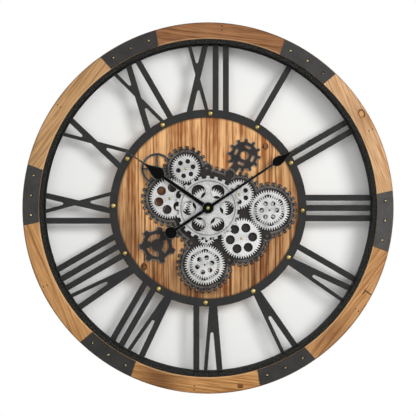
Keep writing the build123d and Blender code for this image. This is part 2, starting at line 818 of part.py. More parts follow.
with BuildPart() as movement_case:
    with BuildSketch(dial_plane(shell_joint)):
        movement_outline = Rectangle(movement_side, movement_side)
        chamfer(movement_outline.vertices(), movement_corner)
    extrude(amount=movement_front_shell)
    with BuildSketch(dial_plane(shell_joint)):
        with Locations((0, bay_middle)):
            Rectangle(bay_length, bay_height)
    extrude(amount=movement_front_shell - box_floor, mode=Mode.SUBTRACT)
    with BuildSketch(dial_plane(disc_back)):
        drilled(bushing_radius + driven_clearance, mode=Mode.ADD)
    extrude(amount=-bushing_seat, mode=Mode.SUBTRACT)
    with BuildSketch(dial_plane(disc_back - bushing_seat)):
        drilled(tube_bore, mode=Mode.ADD)
    extrude(amount=-shaft_tail, mode=Mode.SUBTRACT)
save(movement_case, "movement_case")

with BuildPart() as movement_cover:
    with BuildSketch(dial_plane(wall_clearance)):
        movement_outline = Rectangle(movement_side, movement_side)
        chamfer(movement_outline.vertices(), movement_corner)
        with Locations((0, bay_middle)):
            Rectangle(bay_length, bay_height, mode=Mode.SUBTRACT)
    extrude(amount=movement_back_shell)
    with BuildSketch(dial_plane(wall_clearance)):
        with Locations((0, knob_offset)):
            drilled(knob_hole, mode=Mode.ADD)
    extrude(amount=knob_stem_length + pin_end_gap, mode=Mode.SUBTRACT)
save(movement_cover, "movement_cover")

with BuildPart() as centre_bushing:
    with BuildSketch(dial_plane(disc_back - bushing_seat)):
        Circle(bushing_radius)
        drilled(tube_bore)
    extrude(amount=bushing_front - disc_back + bushing_seat)
save(centre_bushing, "centre_bushing")

with BuildPart() as bushing_nut:
    with BuildSketch(dial_plane(dial_depth)):
        RegularPolygon(bushing_nut_flats / 2, nut_sides, major_radius=False)
        drilled(bushing_radius + driven_clearance)
    extrude(amount=case_floor - pin_end_gap)
save(bushing_nut, "bushing_nut")

with BuildPart() as setting_knob:
    with BuildSketch(dial_plane(wall_clearance - knob_gap - knob_thickness, 0, 0, knob_offset)):
        RegularPolygon(knob_radius, cell_sides)
    extrude(amount=knob_thickness)
    with BuildSketch(dial_plane(wall_clearance - knob_gap, 0, 0, knob_offset)):
        Circle(knob_stem_radius)
    extrude(amount=knob_gap + knob_stem_length)
save(setting_knob, "setting_knob")

# Hands on their tube and shaft
with BuildPart() as hour_tube:
    with BuildSketch(dial_plane(disc_back - bushing_seat - shaft_tail + pin_end_gap)):
        RegularPolygon(hour_tube_radius, boss_sides)
        drilled(minute_shaft_radius + running_clearance)
    extrude(amount=hour_hand_front - disc_back + bushing_seat + shaft_tail - pin_end_gap)
save(hour_tube, "hour_tube")

with BuildPart() as minute_shaft:
    with BuildSketch(dial_plane(disc_back - bushing_seat - shaft_tail + pin_end_gap)):
        Circle(minute_shaft_radius)
    extrude(amount=minute_hand_front + cap_nut_seat - disc_back + bushing_seat + shaft_tail - pin_end_gap)
save(minute_shaft, "minute_shaft")


def spade_hand(shank_width, spade_width, spade_start, spade_end, length):
    """The flat outline of a spade hand along +Y: a bar, a rounded spade and a needle tip."""
    belly = spade_start + spade_belly_share * (spade_end - spade_start)
    with BuildSketch() as blade:
        with BuildLine():
            Line((0, 0), (shank_width / 2, 0))
            Line((shank_width / 2, 0), (shank_width / 2, spade_start))
            Spline(
                (shank_width / 2, spade_start),
                (spade_width / 2, belly),
                (hand_waist_width / 2, spade_end),
                tangents=(spade_flare, spade_return),
            )
            Line((hand_waist_width / 2, spade_end), (hand_tip_width / 2, length))
            Line((hand_tip_width / 2, length), (0, length))
            mirror(about=Plane.YZ)
        make_face()
    return blade.sketch


with BuildPart() as hour_hand:
    with BuildSketch(dial_plane(hour_hand_back, hour_angle)):
        add(spade_hand(hour_bar_width, hour_spade_width, hour_spade_start, hour_spade_end, hour_length))
        RegularPolygon(hour_hub_radius, hand_boss_sides)
        drilled(hour_tube_radius + driven_clearance)
    extrude(amount=hand_thickness)
save(hour_hand, "hour_hand")

with BuildPart() as minute_hand:
    with BuildSketch(dial_plane(minute_hand_back, minute_angle)):
        add(
            spade_hand(
                minute_bar_width, minute_spade_width, minute_spade_start, minute_spade_end, minute_length
            )
        )
        RegularPolygon(minute_hub_radius, hand_boss_sides)
        with Locations((0, -minute_tail_length / 2)):
            Rectangle(minute_bar_width, minute_tail_length)
        with Locations((0, -minute_tail_length)):
            RegularPolygon(minute_tail_bulb, hand_boss_sides)
        drilled(minute_shaft_radius + driven_clearance)
    extrude(amount=hand_thickness)
save(minute_hand, "minute_hand")

with BuildPart() as cap_nut:
    with BuildSketch():
        RegularPolygon(cap_nut_radius, cap_nut_sides)
    extrude(amount=cap_nut_height)
    extrude(cap_nut.faces().sort_by(Axis.Z)[-1], amount=cap_nut_crown, taper=cap_nut_slope)
    with BuildSketch():
        drilled(minute_shaft_radius + driven_clearance, mode=Mode.ADD)
    extrude(amount=cap_nut_seat + driven_clearance, mode=Mode.SUBTRACT)

with BuildPart(dial_plane(minute_hand_front)) as hand_nut:
    add(cap_nut.part)
save(hand_nut, "hand_nut")

# Battery box on the back of the disc, open to the wall, with its slide switch at the outer end
box_height = 2 * bay_height + 3 * box_wall
box_length = bay_length + 2 * box_wall + switch_block
box_middle = -box_distance
bay_x = box_middle + switch_block / 2
switch_x = box_middle - box_length / 2 + box_wall + switch_width / 2 + switch_gap
switch_slot = switch_length + switch_travel + 2 * switch_gap
bay_rows = [row * (bay_height + box_wall) / 2 for row in (-1, 1)]

with BuildPart() as battery_box:
    with BuildSketch(dial_plane(wall_clearance)):
        with Locations((box_middle, 0)):
            Rectangle(box_length, box_height)
    extrude(amount=disc_back - wall_clearance)
    with BuildSketch(dial_plane(wall_clearance)):
        with Locations(*[(bay_x, row) for row in bay_rows]):
            Rectangle(bay_length, bay_height)
    extrude(amount=disc_back - wall_clearance - box_floor, mode=Mode.SUBTRACT)
    with BuildSketch(dial_plane(wall_clearance)):
        with Locations((switch_x, 0)):
            Rectangle(switch_width + 2 * switch_gap, switch_slot)
    extrude(amount=switch_depth, mode=Mode.SUBTRACT)
save(battery_box, "battery_box")

with BuildPart() as power_switch:
    with BuildSketch(dial_plane(wall_clearance - switch_proud)):
        with Locations((switch_x, -switch_travel / 2)):
            Rectangle(switch_width, switch_length)
    extrude(amount=switch_proud + switch_depth - switch_gap)
save(power_switch, "power_switch")

# Three cells along X: one in the movement and two in the box
with BuildPart() as battery_cells:
    for x, z in ((0, bay_middle), *[(bay_x, row) for row in bay_rows]):
        with BuildSketch(Plane(origin=(x - cell_length / 2, -cell_depth, z), z_dir=(1, 0, 0))):
            RegularPolygon(cell_radius, cell_sides)
        extrude(amount=cell_length)
save(battery_cells, "battery_cells")

with BuildPart() as gear_motor:
    with BuildSketch(dial_plane(wall_clearance)):
        with Locations((right_wheel.x + motor_offset, right_wheel.z)):
            motor_outline = Rectangle(motor_length, motor_height)
            chamfer(motor_outline.vertices(), motor_corner)
    extrude(amount=disc_back - wall_clearance)
    with BuildSketch(dial_plane(disc_back, 0, right_wheel.x, right_wheel.z)):
        drilled(arbor_radius + running_clearance, mode=Mode.ADD)
    extrude(amount=-arbor_seat - pin_end_gap, mode=Mode.SUBTRACT)
save(gear_motor, "gear_motor")

# Keyhole hanger and its screws
with BuildPart() as hanger_plate:
    with BuildSketch(dial_plane(hanger_recess)):
        with Locations((0, rim_middle)):
            hanger_outline = Rectangle(hanger_length, hanger_height)
            chamfer(hanger_outline.vertices(), hanger_corner)
        with Locations((0, rim_middle - keyhole_drop)):
            Circle(keyhole_radius, mode=Mode.SUBTRACT)
        with Locations((0, rim_middle - keyhole_drop + keyhole_slot_length / 2)):
            Rectangle(keyhole_slot_width, keyhole_slot_length, mode=Mode.SUBTRACT)
        with Locations(*hanger_screw_places):
            RegularPolygon(screw_hole_radius, screw_sides, mode=Mode.SUBTRACT)
    extrude(amount=hanger_thickness)
save(hanger_plate, "hanger_plate")

hanger_screw = screw_from_behind(hanger_screw_length)
with BuildPart(dial_plane(hanger_recess)) as hanger_screws:
    with Locations(*hanger_screw_places):
        add(hanger_screw)
save(hanger_screws, "hanger_screws")
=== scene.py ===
import bmesh
import bpy
import math
from mathutils import Matrix, Vector


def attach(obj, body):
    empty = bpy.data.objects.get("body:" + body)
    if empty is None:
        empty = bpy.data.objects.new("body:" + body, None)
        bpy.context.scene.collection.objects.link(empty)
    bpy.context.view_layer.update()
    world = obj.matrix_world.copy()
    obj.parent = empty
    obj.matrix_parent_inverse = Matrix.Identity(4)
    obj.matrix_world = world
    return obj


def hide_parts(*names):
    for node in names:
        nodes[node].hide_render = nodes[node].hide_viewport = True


# Dresses a round wall clock: wooden rim, iron hoop, cut numerals, wooden disc and a train of wheels.
# The clock faces -Y and hangs on the wall y = 0. Sizes are written in millimetres and scaled to metres.
# Each flat or turned piece is drawn in its own frame: x to the right, y up and z towards the reader.
# Clock angles are in degrees, clockwise from twelve.

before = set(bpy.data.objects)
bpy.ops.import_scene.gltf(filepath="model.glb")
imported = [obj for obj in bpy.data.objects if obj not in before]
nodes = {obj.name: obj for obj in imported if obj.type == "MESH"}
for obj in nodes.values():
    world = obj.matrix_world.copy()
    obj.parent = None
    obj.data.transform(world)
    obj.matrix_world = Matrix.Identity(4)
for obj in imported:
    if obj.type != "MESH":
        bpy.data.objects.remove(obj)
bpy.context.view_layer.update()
MM = 0.001
SMOOTH_ANGLE = math.radians(32)

# Depths in front of the wall, and thicknesses
DISC_BACK, DISC_FRONT = 18.0, 27.0
FLOOR_FRONT = 30.0
HUB_BACK = 30.2
WHEEL_BACK = 32.0
FRONT_WHEEL_BACK = 37.0
WHEEL_THICKNESS = 3.0
HOUR_HAND_BACK, MINUTE_HAND_BACK = 42.8, 46.0
HAND_THICKNESS = 1.4
RIM_DEPTH = 48.0

# Gear train: each wheel is its centre, its tooth count and its first tooth's direction
MODULE = 1.28
LARGE_TEETH, SMALL_TEETH, IDLER_TEETH = 50, 36, 22
# A tooth's reach above and below its pitch circle, in modules
TOOTH_ABOVE, TOOTH_BELOW = 1.0, 2.7


def meshed(driver, teeth, direction):
    """Centre, tooth count and first tooth's direction of a wheel in mesh with another."""
    x, y, driver_teeth, driver_phase = driver
    turn = math.radians(direction)
    distance = MODULE * (driver_teeth + teeth) / 2
    share = (direction - driver_phase) * driver_teeth / 360
    phase = direction + 180 - (0.5 - share) * 360 / teeth
    return x + distance * math.cos(turn), y + distance * math.sin(turn), teeth, phase


centre = (0.0, 0.0, LARGE_TEETH, 0.0)
left = meshed(centre, LARGE_TEETH, 166.2)
upper_left = meshed(left, SMALL_TEETH, 61.9)
upper_right = meshed(centre, SMALL_TEETH, 23.6)
right = meshed(upper_right, LARGE_TEETH, -27.8)
lower_right = meshed(right, LARGE_TEETH, 225.4)
idler = meshed(centre, IDLER_TEETH, 266.7)
bottom = meshed(idler, LARGE_TEETH, 266.7)


def linear(colour):
    """An sRGB hex colour as a linear RGBA value."""
    channels = [int(colour[n:n + 2], 16) / 255 for n in (1, 3, 5)]
    return [c / 12.92 if c <= 0.04045 else ((c + 0.055) / 1.055) ** 2.4 for c in channels] + [1.0]


def put(tree, kind, settings, links):
    """Adds a shader node, sets its properties and input values, and links sockets to its inputs."""
    node = tree.nodes.new("ShaderNode" + kind)
    for name, value in settings.items():
        if isinstance(name, str) and hasattr(node, name):
            setattr(node, name, value)
        else:
            node.inputs[name].default_value = value
    for name, socket in links.items():
        tree.links.new(socket, node.inputs[name])
    return node


def blank(name):
    """A new material with an empty node tree, and that tree."""
    material = bpy.data.materials.new(name)
    material.use_nodes = True
    material.node_tree.nodes.clear()
    return material, material.node_tree


def per_mm(*sizes):
    """Repeats per metre of a pattern whose features have these sizes in millimetres."""
    return [1000 / size for size in sizes]


# Sockets of a Mix node: its colours and their result, then its two numbers
MIX_A, MIX_B, MIX_OUT = 6, 7, 2
NUMBER_A, NUMBER_B = 2, 3

# Wood: slant and stretch of the growth layers with depth, length and width of their sway
LAYER_SLANT, LAYER_STRETCH = 0.6, 0.12
SWAY_LENGTH, SWAY = 160.0, (0.0, 5.0 * MM, 2.0 * MM)
# Shares of bands and patches in the tone, where growth lines have 1, and half the tone's range
BAND_SHARE, PATCH_SHARE, TONE_RANGE = 0.75, 0.4, 0.19
# Depths of a dark spot, scorch and painted shadow alike, and of a mark that goes right through, and the
# dent of a pit in the bump
DARK_SPOT_DEPTH, THROUGH, PIT_DENT = 12.0, 1e6, -2.5
BARK, CRACK = "#2f190b", "#2b1a0e"


def oiled_pine(name, clock_angle, front, char_and_shadow, brown, honey, offset, band_width, contrast, fleck, rings,
               scorches_and_shadows=(), knots=(), pits=(), torched=None):
    """Torched and oiled pine: grain square to a clock angle, with dark late wood between pale bands.

    The growth layers go back from the front face on a slant, so the sides and the back show grain too.
    The offset moves the pattern, so that no two boards are alike. The fleck is the fibres' share.
    Rings are tinted bands round the dial: where one starts, where it is full, its colour and its strength.
    Scorches and painted shadows, knots and pits are spots: place along and across the grain, half widths
    along and across it, then the darkening's strength or the colour of a knot's core.
    Torched gives two places along the grain: dark lines are faint at the first and full at the second."""
    material, tree = blank(name)
    dial_place = put(tree, "TexCoord", {}, {}).outputs["Object"]
    place = put(tree, "Mapping", {"Rotation": (0, 0, math.radians(clock_angle))},
                {"Vector": dial_place}).outputs["Vector"]
    from_back = put(tree, "SeparateXYZ", {}, {0: dial_place}).outputs["Z"]
    depth = put(tree, "Math", {"operation": "SUBTRACT", 1: front * MM}, {0: from_back}).outputs[0]
    slant = put(tree, "VectorMath", {"operation": "MULTIPLY_ADD", 1: (0.0, LAYER_SLANT, LAYER_STRETCH - 1)},
                {0: depth, 2: place}).outputs["Vector"]
    sway = put(tree, "TexNoise", {"Scale": per_mm(SWAY_LENGTH)[0], "Detail": 1.0}, {"Vector": slant})
    swayed = put(tree, "VectorMath", {"operation": "MULTIPLY_ADD", 1: SWAY},
                 {0: sway.outputs["Color"], 2: slant}).outputs["Vector"]

    def spot_reach(start, x, y, z, wide, tall, deep):
        """Distance from the middle of a spot, in the spot's half widths."""
        spot = put(tree, "Mapping", {"vector_type": "TEXTURE", "Location": (x * MM, y * MM, z * MM),
                                     "Scale": (wide * MM, tall * MM, deep * MM)}, {"Vector": start})
        length = put(tree, "VectorMath", {"operation": "LENGTH"}, {0: spot.outputs["Vector"]})
        return length.outputs["Value"]

    patterns = []
    # Length, width, depth and detail of the bands, the growth lines, the fibres and the patches
    # Fibres are finer than a millimetre; they are drawn 2 mm wide so that they show
    for long, wide, deep, detail in (
        (260, band_width, 30, 2.0),
        (190, 3.2, 8, 3.0),
        (30, 1.7, 3, 2.0),
        (28, 10, 10, 3.0),
    ):
        grain = put(tree, "Mapping", {"Scale": per_mm(long, wide, deep), "Location": offset},
                    {"Vector": swayed}).outputs["Vector"]
        noise = put(tree, "TexNoise", {"Scale": 1.0, "Detail": detail}, {"Vector": grain})
        patterns.append(noise.outputs["Fac"])
    bands, growth, fibres, patches = patterns
    mixed = growth
    for pattern, share in ((bands, BAND_SHARE), (fibres, fleck), (patches, PATCH_SHARE)):
        mixed = put(tree, "Math", {"operation": "MULTIPLY_ADD", 1: share},
                    {0: pattern, 2: mixed}).outputs[0]
    middle = (1.0 + BAND_SHARE + fleck + PATCH_SHARE) / 2
    tone = put(tree, "MapRange", {"From Min": middle - TONE_RANGE / contrast,
                                  "From Max": middle + TONE_RANGE / contrast}, {"Value": mixed})
    colour = put(tree, "Mix", {"data_type": "RGBA", MIX_A: linear(brown), MIX_B: linear(honey)},
                 {0: tone.outputs["Result"]})
    lines = put(tree, "MapRange", {"From Min": 0.47, "From Max": 0.33, "To Max": 0.85 * contrast},
                {"Value": growth}).outputs["Result"]
    if torched:
        along = put(tree, "SeparateXYZ", {}, {0: place}).outputs["X"]
        heat = put(tree, "MapRange", {"interpolation_type": "SMOOTHSTEP", "From Min": torched[0] * MM,
                                      "From Max": torched[1] * MM, "To Min": 0.4}, {"Value": along})
        lines = put(tree, "Math", {"operation": "MULTIPLY"},
                    {0: lines, 1: heat.outputs["Result"]}).outputs[0]
    # Tints that are laid over the wood in turn, each with its share
    tints = [(lines, char_and_shadow)]
    # Dark spots: scorches, and painted shadow where parts of the clock shade the wood
    for x, y, wide, tall, strength in scorches_and_shadows:
        reach = spot_reach(place, x, y, front, wide, tall, DARK_SPOT_DEPTH)
        darkening = put(tree, "MapRange", {"interpolation_type": "SMOOTHSTEP", "From Min": 1.0,
                                        "From Max": 0.0, "To Max": strength}, {"Value": reach})
        tints.append((darkening.outputs["Result"], char_and_shadow))
    for x, y, wide, tall, core in knots:
        reach = spot_reach(swayed, x, y, 0.0, wide, tall, THROUGH)
        whorl = put(tree, "MapRange", {"From Min": 1.5, "From Max": 0.8, "To Max": 0.5}, {"Value": reach})
        bark = put(tree, "MapRange", {"From Min": 1.0, "From Max": 0.84}, {"Value": reach})
        broken = put(tree, "MapRange", {"From Min": 0.28, "From Max": 0.50}, {"Value": patches})
        ring = put(tree, "Math", {"operation": "MULTIPLY"},
                   {0: bark.outputs["Result"], 1: broken.outputs["Result"]})
        pale = put(tree, "MapRange", {"From Min": 0.74, "From Max": 0.5, "To Max": 0.7}, {"Value": reach})
        tints += [(whorl.outputs["Result"], brown), (ring.outputs[0], BARK), (pale.outputs["Result"], core)]
    height = mixed
    for x, y, wide, tall in pits:
        reach = spot_reach(place, x, y, 0.0, wide, tall, THROUGH)
        pit = put(tree, "MapRange", {"From Min": 1.0, "From Max": 0.6}, {"Value": reach}).outputs["Result"]
        tints.append((pit, CRACK))
        height = put(tree, "Math", {"operation": "MULTIPLY_ADD", 1: PIT_DENT},
                     {0: pit, 2: height}).outputs[0]
    flat = put(tree, "VectorMath", {"operation": "MULTIPLY", 1: (1, 1, 0)}, {0: place})
    radius = put(tree, "VectorMath", {"operation": "LENGTH"}, {0: flat.outputs["Vector"]}).outputs["Value"]
    for start, full, tint, strength in rings:
        band = put(tree, "MapRange", {"From Min": start * MM, "From Max": full * MM, "To Max": strength},
                   {"Value": radius})
        tints.append((band.outputs["Result"], tint))
    for share, tint in tints:
        colour = put(tree, "Mix", {"data_type": "RGBA", MIX_B: linear(tint)},
                     {0: share, MIX_A: colour.outputs[MIX_OUT]})
    bump = put(tree, "Bump", {"Strength": 0.5, "Distance": 0.8 * MM}, {"Height": height})
    rough = put(tree, "MapRange", {"From Min": 0.3, "From Max": 0.7, "To Min": 0.62, "To Max": 0.42},
                {"Value": growth})
    shader = put(tree, "BsdfPrincipled", {"Specular IOR Level": 0.14},
                 {"Base Color": colour.outputs[MIX_OUT], "Roughness": rough.outputs["Result"],
                  "Normal": bump.outputs["Normal"]})
    put(tree, "OutputMaterial", {}, {"Surface": shader.outputs[0]})
    return material


# Coats: width of the clouds and of the corners darkened by a wash and painted shade
CLOUD_SIZE, CORNER_SIZE = 22.0, 5.0
# Share of the edge colour left where the brush and highlight band catches, and half the range of the
# roughness
RUBBED_UNDER_BRUSH, ROUGH_RANGE = 0.25, 0.08


def coat_with_wear_and_painted_light(name, body, cloud, rubbed_and_glint, wear_and_glint, bevel, roughness, grit, relief, metallic=0.0, shine=0.5,
              mottle=0.45, wash_and_shade=None, brush_and_highlight_band=None, brush_and_highlight_strength=0.6):
    """A painted or moulded surface: cloudy body colour, fine grit, and edges tinted another colour.

    Wear and glint is the strength of the edge colour, rubbed wear on some coats and painted glints on
    others, and bevel its width; grit is the width of the speckle and relief its height; mottle is the
    speckle's share in the clouds. Wash and shade is a dark colour laid in the corners and between parts,
    partly a wash and partly painted shade. A brush and highlight band with the edge colour starts at one
    height along an axis and is full at another;
    it is a dry brush on some coats and a painted highlight on others."""
    material, tree = blank(name)
    place = put(tree, "TexCoord", {}, {}).outputs["Object"]
    clouds = put(tree, "TexNoise", {"Scale": per_mm(CLOUD_SIZE)[0], "Detail": 3.0}, {"Vector": place})
    speckle = put(tree, "TexNoise", {"Scale": per_mm(grit)[0], "Detail": 2.0},
                  {"Vector": place}).outputs["Fac"]
    shade = put(tree, "Mix", {"data_type": "FLOAT", 0: mottle},
                {NUMBER_A: clouds.outputs["Fac"], NUMBER_B: speckle})
    spread = put(tree, "MapRange", {"From Min": 0.36, "From Max": 0.64}, {"Value": shade.outputs[0]})
    colour = put(tree, "Mix", {"data_type": "RGBA", MIX_A: linear(body), MIX_B: linear(cloud)},
                 {0: spread.outputs["Result"]})
    tints = []
    if brush_and_highlight_band:
        axis, low, high = brush_and_highlight_band
        along = put(tree, "SeparateXYZ", {}, {0: place}).outputs[axis]
        raised = put(tree, "MapRange", {"From Min": low * MM, "From Max": high * MM}, {"Value": along})
    # Edges take another colour: rubbed wear on some coats, painted glints and highlights on others
    if wear_and_glint > 0:
        rounded = put(tree, "Bevel", {"samples": 6, "Radius": bevel * MM}, {})
        plain = put(tree, "NewGeometry", {}, {})
        agreement = put(tree, "VectorMath", {"operation": "DOT_PRODUCT"},
                        {0: rounded.outputs["Normal"], 1: plain.outputs["Normal"]})
        edge = put(tree, "MapRange", {"From Min": 0.99, "From Max": 0.86, "To Max": wear_and_glint},
                   {"Value": agreement.outputs["Value"]})
        patchy = put(tree, "Math", {"operation": "MULTIPLY"},
                     {0: edge.outputs["Result"], 1: spread.outputs["Result"]})
        if brush_and_highlight_band:
            under = put(tree, "MapRange", {"To Min": 1.0, "To Max": RUBBED_UNDER_BRUSH},
                        {"Value": raised.outputs["Result"]})
            patchy = put(tree, "Math", {"operation": "MULTIPLY"},
                         {0: patchy.outputs[0], 1: under.outputs["Result"]})
        tints.append((patchy.outputs[0], rubbed_and_glint))
    # A band by height takes the edge colour in strokes: a dry brush on the case, painted highlight on the
    # hoop's flange and on the nails' crowns, which are also worn
    if brush_and_highlight_band:
        strokes = put(tree, "MapRange", {"From Min": 0.40, "From Max": 0.62, "To Max": brush_and_highlight_strength},
                      {"Value": speckle})
        hit = put(tree, "Math", {"operation": "MULTIPLY"},
                  {0: raised.outputs["Result"], 1: strokes.outputs["Result"]})
        tints.append((hit.outputs[0], rubbed_and_glint))
    # Corners and gaps between parts are darkened: a wash in part and painted shade in part
    if wash_and_shade:
        corners = put(tree, "AmbientOcclusion", {"samples": 8, "Distance": CORNER_SIZE * MM}, {})
        corner_shade = put(tree, "MapRange", {"From Min": 0.80, "From Max": 0.25, "To Max": 0.9},
                      {"Value": corners.outputs["AO"]})
        tints.append((corner_shade.outputs["Result"], wash_and_shade))
    for share, tint in tints:
        colour = put(tree, "Mix", {"data_type": "RGBA", MIX_B: linear(tint)},
                     {0: share, MIX_A: colour.outputs[MIX_OUT]})
    rough = put(tree, "MapRange", {"From Min": 0.3, "From Max": 0.7, "To Min": roughness - ROUGH_RANGE,
                                   "To Max": roughness + ROUGH_RANGE}, {"Value": speckle})
    bump = put(tree, "Bump", {"Strength": 0.4, "Distance": relief * MM}, {"Height": speckle})
    shader = put(tree, "BsdfPrincipled", {"Metallic": metallic, "Specular IOR Level": shine},
                 {"Base Color": colour.outputs[MIX_OUT], "Roughness": rough.outputs["Result"],
                  "Normal": bump.outputs["Normal"]})
    put(tree, "OutputMaterial", {}, {"Surface": shader.outputs[0]})
    return material


# Dry cell: where the sleeve turns to copper, and where the steel caps begin and end
COPPER_FROM, TOP_CAP_FROM, BASE_CAP_TO = 36.0, 48.4, 0.6
SCUFF_SIZE = 6.0


def cell_jacket():
    """A dry cell's printed shrink sleeve with a copper-coloured end, between bare steel caps."""
    material, tree = blank("printed_cell_sleeve")
    place = put(tree, "TexCoord", {}, {}).outputs["Object"]
    along = put(tree, "SeparateXYZ", {}, {0: place}).outputs["Z"]
    scuffs = put(tree, "TexNoise", {"Scale": per_mm(SCUFF_SIZE)[0], "Detail": 4.0}, {"Vector": place})
    colour = put(tree, "Mix", {"data_type": "RGBA", MIX_A: linear("#23262b"), MIX_B: linear("#33373d")},
                 {0: scuffs.outputs["Fac"]})
    copper = put(tree, "Math", {"operation": "GREATER_THAN", 1: COPPER_FROM * MM}, {0: along})
    top = put(tree, "Math", {"operation": "GREATER_THAN", 1: TOP_CAP_FROM * MM}, {0: along})
    base = put(tree, "Math", {"operation": "LESS_THAN", 1: BASE_CAP_TO * MM}, {0: along})
    steel = put(tree, "Math", {"operation": "MAXIMUM"}, {0: top.outputs[0], 1: base.outputs[0]})
    for share, tint in ((copper, "#9a6238"), (steel, "#b9b9b6")):
        colour = put(tree, "Mix", {"data_type": "RGBA", MIX_B: linear(tint)},
                     {0: share.outputs[0], MIX_A: colour.outputs[MIX_OUT]})
    rough = put(tree, "MapRange", {"To Min": 0.22, "To Max": 0.4}, {"Value": scuffs.outputs["Fac"]})
    shader = put(tree, "BsdfPrincipled", {},
                 {"Base Color": colour.outputs[MIX_OUT], "Roughness": rough.outputs["Result"],
                  "Metallic": steel.outputs[0]})
    put(tree, "OutputMaterial", {}, {"Surface": shader.outputs[0]})
    return material


def seen_rays(tree):
    """1 on rays that show in the picture: from the camera, or by way of a reflection or a clear piece."""
    path = put(tree, "LightPath", {}, {})
    seen = path.outputs["Is Camera Ray"]
    for kind in ("Is Glossy Ray", "Is Transmission Ray"):
        seen = put(tree, "Math", {"operation": "MAXIMUM"}, {0: seen, 1: path.outputs[kind]}).outputs[0]
    return seen


# Radii where the wall turns to plain white
WALL_FADE_FROM, WALL_FADE_TO = 292.0, 302.0


def plaster_wall():
    """A pale wall: grey-white where the clock shows it, plain white beyond, clear from behind."""
    material, tree = blank("painted_plaster")
    place = put(tree, "TexCoord", {}, {}).outputs["Object"]
    radius = put(tree, "VectorMath", {"operation": "LENGTH"}, {0: place}).outputs["Value"]
    beyond = put(tree, "MapRange", {"From Min": WALL_FADE_FROM * MM, "From Max": WALL_FADE_TO * MM},
                 {"Value": radius})
    lit = put(tree, "BsdfDiffuse", {"Color": linear("#f4f4f2")}, {})
    white = put(tree, "Emission", {"Color": (1, 1, 1, 1), "Strength": 1.0}, {})
    shown = put(tree, "MixShader", {},
                {0: beyond.outputs["Result"], 1: lit.outputs[0], 2: white.outputs[0]})
    side = put(tree, "NewGeometry", {}, {}).outputs["Backfacing"]
    facing = put(tree, "Math", {"operation": "SUBTRACT", "use_clamp": True}, {0: seen_rays(tree), 1: side})
    clear = put(tree, "BsdfTransparent", {}, {})
    surface = put(tree, "MixShader", {}, {0: facing.outputs[0], 1: clear.outputs[0], 2: shown.outputs[0]})
    put(tree, "OutputMaterial", {}, {"Surface": surface.outputs[0]})
    return material


# Satin charcoal paint on steel plates, thin at the edges; each plate has its own lightness of paint, and
# the lighter paint of the plate at three o'clock is painted sheen from the lamp
charcoal_steel = [
    coat_with_wear_and_painted_light(f"satin_charcoal_paint_{n + 1}", body, cloud, "#6f6c68", wear_and_glint=0.5, bevel=0.8, roughness=0.48,
              grit=2.5, relief=0.05, shine=0.2)
    for n, (body, cloud) in enumerate((
        ("#242322", "#383635"), ("#383635", "#4c4a49"), ("#1a1918", "#2d2c2a"), ("#131210", "#262521"),
        ("#232221", "#363533"), ("#1a1716", "#2d2928"),
    ))
]
# Matt black powder coat on sheet iron: a fine orange peel scatters the light
black_iron = coat_with_wear_and_painted_light("matt_black_powder_coat", "#151515", "#232322", "#4d4d4b", wear_and_glint=0.6, bevel=1.0,
                       roughness=0.55, grit=2.0, relief=0.06, shine=0.18)
# The same coat on the hoop, darker as painted shade on its inner wall, with its edges and the flange's
# front greyed as painted highlight
hoop_coat = coat_with_wear_and_painted_light("deep_black_powder_coat", "#0a0a0a", "#141413", "#4c4c49", wear_and_glint=1.5, bevel=1.0,
                      roughness=0.75, grit=2.0, relief=0.06, shine=0.02, brush_and_highlight_band=("Z", 44.6, 45.8))
# Charcoal moulded resin, silver dry-brushed over its edges and drawn 3 mm wide so that it shows
case_resin = coat_with_wear_and_painted_light("dry_brushed_charcoal_resin", "#131110", "#2d2825", "#9a958f", wear_and_glint=1.5, bevel=2.8,
                       roughness=0.6, grit=1.8, relief=0.12, shine=0.18, brush_and_highlight_band=("Y", -30.6, -34.0),
                       brush_and_highlight_strength=0.26)
# The same resin on the case's teeth, which the brush hardly reached
tooth_resin = coat_with_wear_and_painted_light("charcoal_resin", "#090807", "#161210", "#7d7872", wear_and_glint=0.5, bevel=1.2,
                        roughness=0.6, grit=1.8, relief=0.12, shine=0.18)
# Silver paint on moulded wheels: a coarse metallic flake, darkened in the corners and where one wheel lies
# over another, as a black wash and as painted shade
# Some wheels have a lighter copy of the paint and some a darker one
silver_paint, lighter_silver, darker_silver = (
    coat_with_wear_and_painted_light(name, body, cloud, "#dadad8", wear_and_glint=0.3, bevel=0.5, roughness=0.45, grit=1.7, relief=0.06,
              metallic=0.25, shine=0.4, mottle=0.6, wash_and_shade="#2b2a29")
    for name, body, cloud in (
        ("washed_and_shaded_silver_paint", "#8e8e8d", "#cdcdcc"),
        ("lighter_silver_paint", "#9e9e9d", "#d8d8d7"),
        ("darker_silver_paint", "#828281", "#c3c3c2"),
    )
)
# Antique brass: pale metal, browned in patches, and dark in the corners as tarnish and painted shade
antique_brass = coat_with_wear_and_painted_light("antique_brass", "#5b4d2c", "#a08f5c", "#e6dcb2", wear_and_glint=0.5, bevel=0.5,
                          roughness=0.22, grit=1.6, relief=0.03, metallic=1.0, wash_and_shade="#1d170d")
# Blackened brass of the nails, its crowns painted bright, as wear and as a painted highlight
dark_brass = coat_with_wear_and_painted_light("blackened_brass", "#050403", "#0b0907", "#c9ba88", wear_and_glint=0.0, bevel=0.5,
                       roughness=0.4, grit=1.6, relief=0.02, metallic=0.3, shine=0.1,
                       brush_and_highlight_band=("Z", 0.72, 0.86), brush_and_highlight_strength=0.9)
# Gloss black stove enamel on the hands, its edges painted bright as glints
black_enamel = coat_with_wear_and_painted_light("gloss_black_enamel", "#030303", "#060606", "#c8c7c4", wear_and_glint=1.2, bevel=1.5,
                         roughness=0.24, grit=3.0, relief=0.01, shine=0.02)
